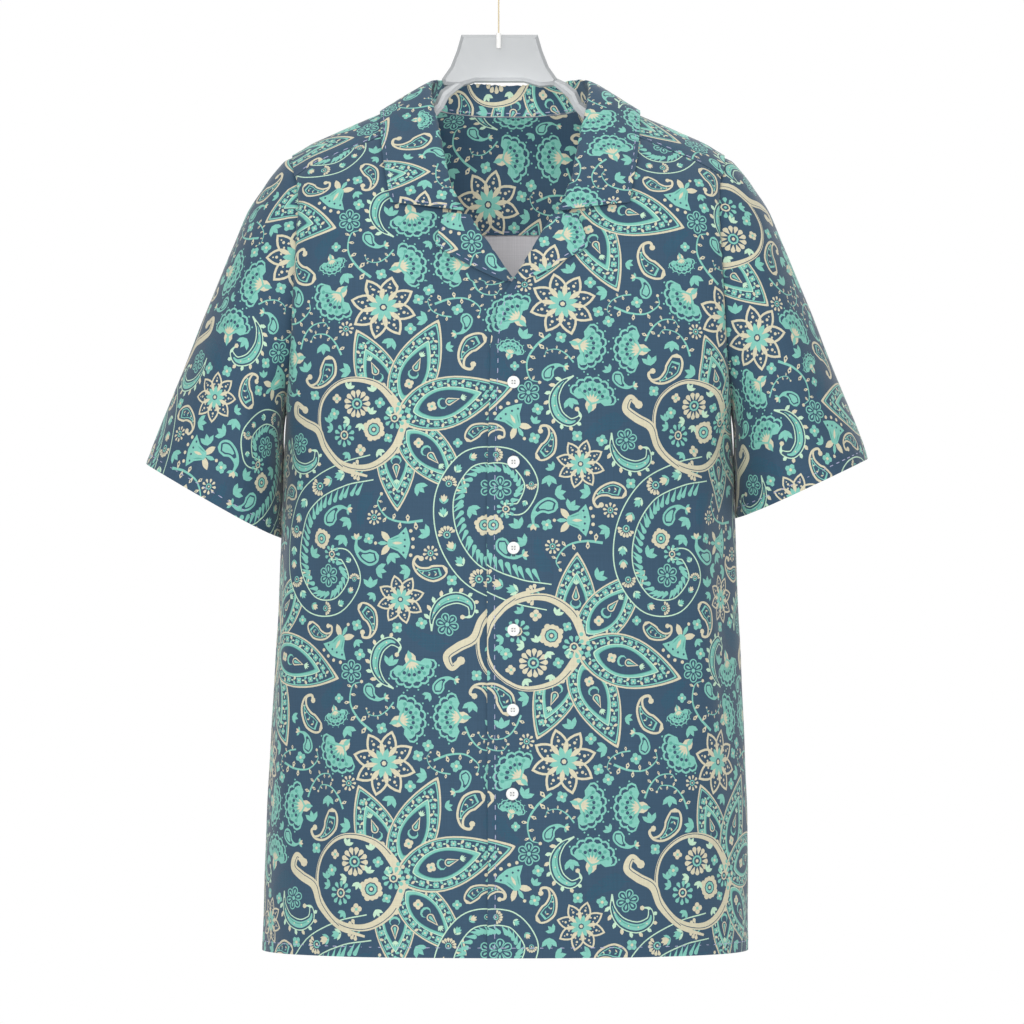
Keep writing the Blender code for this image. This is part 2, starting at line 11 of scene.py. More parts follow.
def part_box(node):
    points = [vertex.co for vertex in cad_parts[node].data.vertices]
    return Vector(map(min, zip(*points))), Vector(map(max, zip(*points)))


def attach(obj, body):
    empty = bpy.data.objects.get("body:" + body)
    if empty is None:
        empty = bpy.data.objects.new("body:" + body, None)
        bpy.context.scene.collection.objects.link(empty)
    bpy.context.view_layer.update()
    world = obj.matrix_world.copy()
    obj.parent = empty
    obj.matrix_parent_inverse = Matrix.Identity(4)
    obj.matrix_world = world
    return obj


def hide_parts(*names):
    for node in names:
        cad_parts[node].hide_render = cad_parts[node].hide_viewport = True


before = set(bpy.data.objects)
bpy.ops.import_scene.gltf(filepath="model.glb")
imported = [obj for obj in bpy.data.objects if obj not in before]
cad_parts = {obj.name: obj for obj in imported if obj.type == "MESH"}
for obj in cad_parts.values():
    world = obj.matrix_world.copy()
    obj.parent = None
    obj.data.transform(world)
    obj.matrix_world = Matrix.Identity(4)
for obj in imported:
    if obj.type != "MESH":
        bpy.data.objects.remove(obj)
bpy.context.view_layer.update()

# ---------------------------------------------------------------- sizes shared with the solids
HANG_DROP = 0.8755
GARMENT_X = 0.0088
GARMENT_Y = 0.010
WALL = 0.0012
SQUARE = 0.85
ROUNDING = 0.080
BODY_ROWS = (               # height, half width, front depth, back depth, sideways drift
    (0.000, 0.2176, 0.148, 0.146, -0.0030),
    (0.098, 0.2160, 0.147, 0.145, -0.0015),
    (0.195, 0.2120, 0.144, 0.142, -0.0008),
    (0.292, 0.2070, 0.140, 0.138, 0.0),
    (0.368, 0.2036, 0.137, 0.135, 0.0),
    (0.427, 0.2020, 0.134, 0.133, 0.0),
    (0.4826, 0.1990, 0.130, 0.130, 0.0),
    (0.527, 0.1950, 0.126, 0.127, 0.0),
    (0.580, 0.1925, 0.119, 0.122, 0.0),
    (0.640, 0.1895, 0.105, 0.116, 0.0),
    (0.674, 0.1885, 0.093, 0.112, 0.0),
    (0.714, 0.1940, 0.070, 0.108, 0.0),
    (0.740, 0.1944, 0.055, 0.106, 0.0),
    (0.780, 0.1944, 0.040, 0.104, 0.0),
)
RIDGE_ROWS = (              # across, height
    (0.000, 0.7786),
    (0.040, 0.7766),
    (0.072, 0.7671),
    (0.100, 0.7571),
    (0.126, 0.7460),
    (0.152, 0.7350),
    (0.176, 0.7244),
    (0.1944, 0.7136),
    (0.2300, 0.7136),
)
UNDERARM = 0.4826
ARM_HALF = 0.1155
ARM_DEPTH = 0.082
UNDERARM_EASE = 1.6         # armhole half heights down at which the cloth eases into the side
FORWARD_SEAM = 0.022
BACK_SEAM = 0.6465
FRONT_FOLDS = (             # angle, half width, depth, deepest at, half length
    (-66, 9, 0.0050, 0.30, 0.30),
    (-47, 8, -0.0030, 0.12, 0.20),
    (-30, 9, 0.0022, 0.02, 0.16),
    (52, 8, 0.0040, 0.26, 0.28),
    (70, 8, -0.0035, 0.36, 0.24),
    (28, 9, 0.0024, 0.04, 0.18),
)
BACK_FOLDS = (
    (-62, 9, 0.0050, 0.28, 0.30),
    (-36, 10, -0.0038, 0.10, 0.26),
    (-12, 10, 0.0034, 0.22, 0.30),
    (16, 9, -0.0030, 0.08, 0.22),
    (42, 10, 0.0042, 0.24, 0.30),
    (66, 8, 0.0036, 0.34, 0.24),
)
FOLD_MIDDLE, FOLD_REACH = 0.2, 0.42     # folds fade from this height, over this much
MEAN_RADIUS = 0.16          # of the body: a fold's depth as a share of it swells the section
BUTTON_EDGE_ROWS = (        # height, how far the button edge passes the centre
    (0.000, 0.0205),
    (0.520, 0.0205),
    (0.553, 0.0191),
    (0.5665, 0.0162),
    (0.582, 0.0126),
    (0.589, 0.0067),
    (0.5978, 0.0010),
)
BUTTON_LINE = 0.0045
V_HEIGHT = 0.5978
NECK_WIDEST = 0.070
NECK_EDGE_ROWS = (          # height, across
    (0.5978, 0.0020),
    (0.6180, 0.0155),
    (0.6379, 0.0275),
    (0.6605, 0.0440),
    (0.6720, 0.0514),
    (0.6850, 0.0565),
    (0.7124, 0.0622),
    (0.7380, 0.0674),
    (0.7500, 0.0712),
)
NECKLINE_ROWS = (           # across, signed root of the drop
    (0.0000, -0.158),
    (0.0330, -0.152),
    (0.0595, -0.118),
    (0.0722, -0.060),
    (0.0752, 0.000),
    (0.0735, 0.080),
    (0.0718, 0.1455),
)
YOKE_HALF = 0.1890
YOKE_NECK_PART = 0.43
YOKE_LOW_NECK = 0.130
INNER_YOKE_INWARD = 0.0022
OVERLAP_SHIFT = 0.0010
ROLL_ROWS = (               # across, depth, height
    (0.0000, 0.0710, 0.7804),
    (0.0300, 0.0655, 0.7817),
    (0.0540, 0.0460, 0.7832),
    (0.0680, 0.0180, 0.7820),
    (0.0717, -0.0080, 0.7755),
    (0.0695, -0.0320, 0.7590),
    (0.0640, -0.0550, 0.7360),
    (0.0590, -0.0752, 0.7110),
    (0.0530, -0.0925, 0.6850),
    (0.0400, -0.1035, 0.6590),
)
FOOT_ROWS = (               # across, signed root of the drop
    (0.0000, -0.158),
    (0.0330, -0.152),
    (0.0595, -0.118),
    (0.0706, -0.060),
    (0.0736, 0.000),
    (0.0718, 0.080),
    (0.0654, 0.176),
    (0.0603, 0.242),
    (0.0546, 0.296),
    (0.0422, 0.342),
)
EDGE_ROWS = (               # across, signed root of the drop
    (0.0000, -0.250),
    (0.0500, -0.237),
    (0.0830, -0.190),
    (0.1040, -0.117),
    (0.1143, 0.000),
    (0.1150, 0.115),
    (0.1140, 0.180),
    (0.1120, 0.225),
    (0.1090, 0.262),
    (0.1060, 0.296),
)
COLLAR_LIFT = 0.0034
COLLAR_BULGE = 0.0026
COLLAR_SHIFT = 0.0015
LAPEL_ROWS = (              # roll line across, height, outer edge across, height
    (0.0380, 0.6572, 0.0595, 0.6592),
    (0.0345, 0.6500, 0.0683, 0.6290),
    (0.0270, 0.6390, 0.0510, 0.6190),
    (0.0180, 0.6240, 0.0341, 0.6094),
    (0.0090, 0.6100, 0.0200, 0.6025),
    (0.0022, 0.6000, 0.0065, 0.5968),
)
LAPEL_LIFT = 0.0032
SLEEVE_TOP_ROWS = (         # across, height
    (0.1944, 0.7136),
    (0.2043, 0.7028),
    (0.2133, 0.6920),
    (0.2205, 0.6812),
    (0.2277, 0.6704),
    (0.2336, 0.6596),
    (0.2426, 0.6380),
    (0.2520, 0.6164),
    (0.2655, 0.5840),
    (0.2826, 0.5408),
    (0.2997, 0.4976),
    (0.3150, 0.4590),
)
SLEEVE_UNDER_ROWS = (
    (0.1990, 0.4826),
    (0.2046, 0.4560),
    (0.2068, 0.4250),
)
CUFF_ROWS = {               # hand, outer end across, height, inner end across, height
    "sleeve_right": (-1, 0.3236, 0.4364, 0.2078, 0.3700),
    "sleeve_left": (1, 0.3209, 0.4409, 0.2078, 0.3878),
}
CUFF_DEPTH = 0.073
SLEEVE_GAP = 0.0017
SLEEVE_FOLDS = (            # angle, half width, depth, place along, half length
    (58, 16, 0.0040, 0.45, 0.42),
    (104, 14, 0.0050, 0.62, 0.40),
    (140, 12, -0.0030, 0.80, 0.30),
    (232, 15, 0.0045, 0.60, 0.40),
    (292, 16, 0.0040, 0.50, 0.40),
)
TUBE_TOP = 0.8236
TUBE_DEPTH = 0.006
CORD_FLOOR_GAP = 0.0003
CORD_RADIUS = 0.0008
CORD_TOP = 0.8585
CORD_TWIST = 0.0042         # length of one whole turn of its strands

# ---------------------------------------------------------------- sizes of the dressing
TUCK = 0.004                # how far a lower piece runs on under the one sewn over it
SEAM_SINK = 0.0010          # and how much lower it lies there
SHELL = 0.0007              # thickness of a shell
COLLAR_SHELL = 0.0010       # the collar and lapels are two layers with stiffening between
NET_GAP = 0.005             # between the points that carry a shell's creases
ROW_SHARE = 0.866           # row distance of a staggered net, as a share of its gap
OUTLINE_GAP = 0.003

PICTURE = 1024              # the photograph's side, px
PIXEL = 0.0009              # metres a pixel at the shirt's middle
CAMERA_FAR = 7.0
CAMERA_X, CAMERA_Z = 0.01197, -0.4823
FLOOR_DROP = 1.15
FLOOR_RADIUS = 3.0


# ---------------------------------------------------------------- curves and sections
def follow(rows, key, column, at):
    """Smooth curve through two columns of a table, read at one value or many."""
    xs = np.array([row[key] for row in rows])
    ys = np.array([row[column] for row in rows])
    at = np.clip(at, xs[0], xs[-1])
    slope = np.gradient(ys, xs)
    i = np.clip(np.searchsorted(xs, at, side="right") - 1, 0, len(xs) - 2)
    step = xs[i + 1] - xs[i]
    t = (at - xs[i]) / step
    return ((2 * t**3 - 3 * t**2 + 1) * ys[i] + (t**3 - 2 * t**2 + t) * step * slope[i]
            + (3 * t**2 - 2 * t**3) * ys[i + 1] + (t**3 - t**2) * step * slope[i + 1])


def along(rows, columns, at):
    """A point on the curve through a table's rows, evenly numbered from 0 to 1."""
    numbered = [(k / (len(rows) - 1), *row) for k, row in enumerate(rows)]
    return [follow(numbered, 0, column + 1, at) for column in columns]


def ridge(across):
    return follow(RIDGE_ROWS, 0, 1, np.abs(across))


def fade(x):
    """1 at 0, falling smoothly to 0 at 1 and beyond."""
    t = np.clip(1 - np.abs(x), 0, 1)
    return t * t * (3 - 2 * t)


def folds(rows, angle, place):
    push = 0
    for at, half, depth, deepest, length in rows:
        push = push + depth * fade((angle - at) / half / 1.6) * fade((place - deepest) / length)
    return push


def body_depth(angle, height, across, side):
    """Depth of the body's surface at an angle (90 degrees is its side) and a height."""
    full = np.abs(np.cos(angle)) ** SQUARE
    drop = np.maximum(ridge(across) - height, 0)
    down = drop / ARM_HALF
    arm = np.sqrt(np.clip(1 - (1 - down) ** 2, 0, 1))
    arm = np.where(down < 2, arm, 0)
    eased = 0.8 * fade(np.maximum(down - UNDERARM_EASE, 0) / 0.75)
    soften = np.where(down > UNDERARM_EASE, 1 - (1 - full) ** 8, 0)
    arm = ARM_DEPTH * (arm + (eased - arm) * soften)
    rounding = np.sqrt(1 - (1 - np.clip(drop / ROUNDING, 0, 1)) ** 2)
    middle = follow(BODY_ROWS, 0, 2 if side < 0 else 3, height) * rounding
    return (1 - full) * arm + full * middle


def body_point(angle, height, side):
    """Point of the body at an angle from the centre, a height, and a side (-1 is the front)."""
    across = (follow(BODY_ROWS, 0, 1, height)
              * np.sign(angle) * np.abs(np.sin(angle)) ** SQUARE)
    depth = body_depth(angle, height, across, side)
    rows = FRONT_FOLDS if side < 0 else BACK_FOLDS
    fold = (folds(rows, np.degrees(angle), height)
            * fade((height - FOLD_MIDDLE) / FOLD_REACH))
    scale = 1 + fold / MEAN_RADIUS
    across = across * scale + follow(BODY_ROWS, 0, 4, height)
    return np.stack([across, side * depth * scale, height + 0 * depth], -1)


def body_angle(across, height):
    part = np.clip(np.abs(across) / follow(BODY_ROWS, 0, 1, height), 0, 1)
    return np.sign(across) * np.arcsin(part ** (1 / SQUARE))


def shoulder_point(across, root):
    """Point near the shoulder ridge: root is the signed root of the drop, plus at the front."""
    height = ridge(across) - root ** 2
    angle = body_angle(across, height)
    front = body_depth(angle, height, across, -1)
    back = body_depth(angle, height, across, 1)
    return np.stack([across + 0 * root, np.where(root > 0, -front, back), height], -1)


def shoulder_normal(across, root):
    step = 0.002
    over = shoulder_point(across + step, root) - shoulder_point(across - step, root)
    down = shoulder_point(across, root + step) - shoulder_point(across, root - step)
    normal = np.cross(down, over)
    return normal / np.linalg.norm(normal, axis=-1, keepdims=True)


def run_length(points):
    """Distance along a line, at each of its points."""
    return np.concatenate([[0], np.cumsum(np.linalg.norm(np.diff(points, axis=0), axis=1))])


def even(curve, at):
    """Places from 0 to 1 at even distances along a curve given as a function."""
    fine = np.linspace(0, 1, 400)
    length = run_length(curve(fine))
    return np.interp(at * length[-1], length, fine)


def spline(rails, at):
    """Points on the smooth curves across a stack of rails, evenly numbered from 0 to 1."""
    count = len(rails) - 1
    place = np.clip(at * count, 0, count - 1e-9)
    i = place.astype(int)
    t = (place - i)[..., None]
    pick = np.arange(len(at))
    here, following = rails[i, pick], rails[i + 1, pick]
    first = (following - rails[np.maximum(i - 1, 0), pick]) / 2
    last = (rails[np.minimum(i + 2, count), pick] - here) / 2
    return ((2 * t**3 - 3 * t**2 + 1) * here + (t**3 - 2 * t**2 + t) * first
            + (3 * t**2 - 2 * t**3) * following + (t**3 - t**2) * last)


# ---------------------------------------------------------------- surfaces of the cloth pieces
def front_surface(hand):
    """u runs from the button edge to the side seam, v from the hem to the shoulder."""
    top = ridge(NECK_WIDEST) - FORWARD_SEAM + TUCK

    def surface(u, v):
        inner = v * top
        climb = np.clip((inner - UNDERARM) / (top - UNDERARM), 0, 1)
        past = BUTTON_LINE * hand - follow(BUTTON_EDGE_ROWS, 0, 1, inner)
        neck = BUTTON_LINE * hand * 0.3 + follow(NECK_EDGE_ROWS, 0, 1, inner)
        start = body_angle(np.where(inner <= V_HEIGHT, past, neck), inner)
        spread = even(lambda t: body_point(t * math.pi / 2, 0.3 + 0 * t, -1), u)
        angle = start + (math.pi / 2 - start) * spread
        across = BODY_ROWS[0][1] * np.abs(np.sin(angle)) ** SQUARE
        seam = ridge(np.maximum(across, NECK_WIDEST))
        for _ in range(3):
            height = inner + climb * (seam - FORWARD_SEAM + TUCK - top)
            across = follow(BODY_ROWS, 0, 1, height) * np.abs(np.sin(angle)) ** SQUARE
            seam = ridge(np.maximum(across, NECK_WIDEST))
        points = body_point(angle * hand, height, -1)
        overlap = (fade(np.maximum(angle - 0.15, 0) / 0.30)
                   * fade(np.maximum(height - 0.60, 0) / 0.06))
        points[..., 1] -= hand * OVERLAP_SHIFT * overlap
        return points
    return surface


def back_surface(u, v):
    spread = even(lambda t: body_point((t - 0.5) * math.pi, 0.3 + 0 * t, 1), u)
    return body_point((spread - 0.5) * math.pi, v * (BACK_SEAM + TUCK), 1)


def yoke_surface(inward):
    """u runs from the wearer's right to the left, v from the back seam to the front."""
    def surface(u, v):
        signed = 2 * u - 1
        at = np.abs(signed)
        part = np.clip(at / YOKE_NECK_PART, 0, 1)
        beyond = np.clip((at - YOKE_NECK_PART) / (1 - YOKE_NECK_PART), 0, 1)
        neck_across, neck_root = along(NECKLINE_ROWS, (0, 1), part)
        top_across = neck_across + beyond * (YOKE_HALF - neck_across)
        top_root = np.where(beyond > 0, math.sqrt(FORWARD_SEAM), neck_root)
        low_across = YOKE_LOW_NECK * part ** 0.8 + beyond * (YOKE_HALF - YOKE_LOW_NECK)
        low_root = -np.sqrt(ridge(low_across) - BACK_SEAM)
        across = low_across + (top_across - low_across) * v
        root = low_root + (top_root - low_root) * v
        armhole = follow(BODY_ROWS, 0, 1, ridge(across) - root ** 2)
        swing = np.clip((across - 0.13) / (YOKE_HALF - 0.13), 0, 1)
        across = across + (armhole - YOKE_HALF) * swing
        points = shoulder_point(across, root) - shoulder_normal(across, root) * inward
        points[..., 0] *= np.where(signed < 0, -1, 1)
        return points
    return surface


def armhole_point(theta):
    """Point of the armhole: theta 0 is the shoulder, 90 degrees the front, 180 the underarm."""
    height = 0.7136 - ARM_HALF * (1 - np.cos(theta))
    return np.stack([follow(BODY_ROWS, 0, 1, height), -ARM_DEPTH * np.sin(theta), height], -1)


def sleeve_surface(name):
    """u runs round from the underarm seam by the back, shoulder and front; v down the arm."""
    hand, out_x, out_z, in_x, in_z = CUFF_ROWS[name]
    top_rows = SLEEVE_TOP_ROWS + ((out_x, out_z),)
    under_rows = SLEEVE_UNDER_ROWS + ((in_x, in_z),)

    def rail(rows, v):
        at = even(lambda t: np.stack(along(rows, (0, 1), t), -1), v)
        return np.stack(along(rows, (0, 1), at), -1)

    def tube(theta, v):
        top, under = rail(top_rows, v), rail(under_rows, v)
        flat = (top + under) / 2 + (top - under) / 2 * np.cos(theta)[..., None]
        depth = ARM_DEPTH + (CUFF_DEPTH - ARM_DEPTH) * v
        push = folds(SLEEVE_FOLDS, np.degrees(theta) % 360, v)
        return np.stack([flat[..., 0], -(depth + push) * np.sin(theta), flat[..., 1]], -1)

    def surface(u, v):
        theta = (2 * u - 1) * math.pi
        keep = np.clip(1 - v / 0.45, 0, 1)[..., None] ** 2
        points = tube(theta, v) + (armhole_point(theta) - tube(theta, 0 * v)) * keep
        points[..., 0] += SLEEVE_GAP - 0.0042 * fade(v / 0.03)
        points[..., 0] *= hand
        return points
    return surface


def collar_surface(u, v):
    """u runs from the right leaf's end to the left one's, v from foot to roll to outer edge."""
    signed = 2 * u - 1
    at = np.abs(signed)
    roll = np.stack(along(ROLL_ROWS, (0, 1, 2), at), -1)
    foot = shoulder_point(*along(FOOT_ROWS, (0, 1), at))
    rise = roll - foot
    foot = foot - rise / np.linalg.norm(rise, axis=-1, keepdims=True) * 0.0006
    edge_across, edge_root = along(EDGE_ROWS, (0, 1), at)
    out = shoulder_normal(edge_across, edge_root)
    edge = shoulder_point(edge_across, edge_root) + out * COLLAR_LIFT
    stand = foot + (roll - foot) * 0.55 - out * 0.0006
    brow = roll + (edge - roll) * 0.14 + out * COLLAR_BULGE
    arch = roll + (edge - roll) * 0.50 + out * COLLAR_BULGE
    points = spline(np.stack([foot, stand, roll, brow, arch, edge]), v)
    points[..., 0] *= np.where(signed < 0, -1, 1)
    points[..., 0] += COLLAR_SHIFT
    return points


LAPEL_ROLL_PART = 0.12      # share of the lapel's width that turns back to the front's neck edge


def lapel_surface(hand):
    """u runs from the notch down to the V, v from the neck edge over the roll to the tip."""
    def surface(u, v):
        stations = np.linspace(0, 1, len(LAPEL_ROWS))
        roll_x, roll_z, edge_x, edge_z = (np.interp(u, stations, column)
                                          for column in zip(*LAPEL_ROWS))
        w = (v - LAPEL_ROLL_PART) / (1 - LAPEL_ROLL_PART)
        turn = np.clip(-w * (1 - LAPEL_ROLL_PART) / LAPEL_ROLL_PART, 0, 1)
        out = np.maximum(w, 0)
        across = roll_x + (edge_x - roll_x) * out
        height = roll_z + (edge_z - roll_z) * out
        surface_at = body_point(body_angle(across, height), height, -1)
        full = LAPEL_LIFT + 0.0014 * (1 - out) ** 2
        lift = full * (1 + np.cos(math.pi * turn)) / 2
        points = surface_at + np.stack([-0.0016 * np.sin(math.pi * turn), -lift, 0 * lift], -1)
        points[..., 0] = (points[..., 0] * hand + COLLAR_SHIFT
                          + 0.0025 * fade((height - V_HEIGHT) / 0.08))
        return points
    return surface


# ---------------------------------------------------------------- relief: creases and seams
# Creases in pattern millimetres: from x, y to x, y, half width, height (minus is a trough)
CREASES = {
    "front_right": (
        (-185, 500, -120, 600, 12, 3.0), (-200, 470, -110, 430, 14, -2.7),
        (-205, 440, -150, 330, 13, 3.0), (-150, 300, -165, 60, 16, 2.7),
        (-90, 200, -100, 10, 18, -2.2), (-60, 560, -85, 420, 15, 1.9),
        (-40, 160, -50, 0, 14, 1.6), (-120, 640, -70, 540, 11, -1.6),
    ),
    "front_left": (
        (190, 510, 115, 590, 12, 2.7), (205, 465, 120, 450, 14, -3.0),
        (205, 430, 160, 320, 13, 2.7), (165, 280, 160, 50, 16, 2.7),
        (100, 240, 85, 20, 17, -2.0), (70, 560, 90, 400, 15, 1.9),
        (45, 150, 60, 0, 14, 1.8), (115, 640, 65, 550, 11, -1.6),
    ),
    "back": (
        (-170, 520, -80, 560, 14, -4.1), (175, 515, 90, 580, 13, -3.7),
        (-120, 420, -140, 120, 18, 4.1), (-50, 380, -40, 40, 20, -3.4),
        (30, 440, 45, 150, 18, 3.4), (110, 360, 125, 20, 19, -3.7),
        (170, 300, 165, 60, 15, 3.4), (-190, 280, -185, 80, 14, -3.1),
        (-10, 600, -30, 500, 14, 2.0), (80, 200, 70, 0, 14, 2.4),
    ),
    "sleeve_right": (
        (-60, -60, -20, -230, 13, 3.3), (50, -80, 20, -240, 14, -3.0),
        (120, -50, 60, -180, 12, 3.6), (-140, -60, -100, -190, 13, 3.0),
        (170, -40, 130, -120, 11, -3.0),
    ),
    "sleeve_left": (
        (60, -70, 30, -240, 13, 3.3), (-50, -60, -20, -220, 14, -3.3),
        (-120, -60, -70, -190, 12, 3.6), (140, -50, 100, -200, 13, 3.0),
        (-165, -30, -130, -120, 11, -3.0),
    ),
    "yoke": (
        (-150, 750, -95, 660, 12, -1.3), (150, 745, 100, 660, 12, -1.3),
    ),
}
HEM_IN = 0.0090             # how far a line of stitches and its groove lie inside the edge
BUTTON_EDGE_IN = 0.0068
YOKE_IN = 0.0026
COLLAR_IN = 0.0036
# Seams and hems: distance inside an edge, half width, height, then pucker height and length
SIDE_SEAM = (0.0, 0.004, -0.0012, 0.0003, 0.013)
UNDER_YOKE = (0.0, 0.0055, -SEAM_SINK * 1.5, 0.0, 1.0)
HEM = (HEM_IN, 0.0012, -0.0005, 0.0003, 0.009)
BUTTON_EDGE = (BUTTON_EDGE_IN, 0.0010, -0.0004, 0.0002, 0.008)
YOKE_GROOVE = (YOKE_IN, 0.0010, -0.0004, 0.0002, 0.008)
YOKE_TURNING = (0.0, 0.010, 0.0003, 0.0, 1.0)
ARMHOLE = (0.0, 0.0045, -0.0022, 0.0006, 0.017)
ARM_SEAM = (0.0, 0.003, -0.0008, 0.0, 1.0)
SLEEVE_SEAMS = (("low", ARMHOLE), ("high", HEM), ("left", ARM_SEAM), ("right", ARM_SEAM))
COLLAR_SEAMS = (("high", (COLLAR_IN, 0.0009, -0.0004, 0.0002, 0.008)),)
SEAMS = {
    "front_right": (("right", SIDE_SEAM), ("low", HEM), ("high", UNDER_YOKE)),
    "front_left": (("right", SIDE_SEAM), ("left", BUTTON_EDGE), ("low", HEM),
                   ("high", UNDER_YOKE)),
    "back": (("left", SIDE_SEAM), ("right", SIDE_SEAM), ("low", HEM), ("high", UNDER_YOKE)),
    "yoke": (("low", YOKE_GROOVE), ("high", YOKE_GROOVE), ("low", YOKE_TURNING)),
    "sleeve_right": SLEEVE_SEAMS,
    "sleeve_left": SLEEVE_SEAMS,
    "collar": COLLAR_SEAMS,
    "lapel_right": COLLAR_SEAMS,
    "lapel_left": COLLAR_SEAMS,
}
EDGES = ("left", "right", "low", "high")
SLEEVE_REST = 0.0050        # how far the sleeve's underside is let down onto the body


def relief(name, flat, edges):
    """How far the cloth is pushed out at pattern points, by creases, seams and unevenness."""
    x, y = flat[..., 0], flat[..., 1]
    push = 0.00035 * np.sin(x * 71 + 2 * np.sin(y * 23)) * np.sin(y * 47 + 3 * np.sin(x * 31))
    for crease in CREASES.get(name, ()):
        x0, y0, x1, y1, half, height = np.array(crease) / 1000
        run = math.hypot(x1 - x0, y1 - y0)
        part = ((x - x0) * (x1 - x0) + (y - y0) * (y1 - y0)) / run ** 2
        off = ((x - x0) * (y1 - y0) - (y - y0) * (x1 - x0)) / run
        bend = 0.5 * half * np.sin(5 * part)
        push = push + height * np.exp(-((off - bend) / half) ** 2) * fade((2 * part - 1) ** 2)
    if name.startswith("sleeve"):
        seam = np.minimum(edges[..., 0], edges[..., 1])
        free = fade(np.maximum(1 - edges[..., 2] / 0.05, 0))
        push = push + SLEEVE_REST * np.exp(-(seam / 0.06) ** 2) * free
    for edge, (at, half, height, pucker, length) in SEAMS.get(name, ()):
        place = edges[..., EDGES.index(edge)] - at
        run = y if edge in ("left", "right") else x
        push = push + height * np.exp(-(place / half) ** 2)
        wave = np.sin(2 * math.pi * run / length + 1.7 * np.sin(run * 61))
        push = push + pucker * wave * np.exp(-(place / 0.006) ** 2)
    return push


# ---------------------------------------------------------------- cutting the pattern
def flatten(points, flat, rounds=300):
    """Lay a grid of cloth points out flat, keeping the lengths between neighbours."""
    every, first, last = slice(None), slice(None, -1), slice(1, None)
    links = (((every, last), (every, first)), ((last, every), (first, every)),
             ((last, last), (first, first)), ((last, first), (first, last)))
    rests = [np.linalg.norm(points[a] - points[b], axis=-1) for a, b in links]
    flat = flat.copy()
    for _ in range(rounds):
        push = np.zeros_like(flat)
        for (a, b), rest in zip(links, rests):
            gap = flat[a] - flat[b]
            now = np.linalg.norm(gap, axis=-1)
            move = gap * ((rest - now) / np.maximum(now, 1e-9))[..., None]
            push[a] += move
            push[b] -= move
        flat += push * 0.11
    return flat


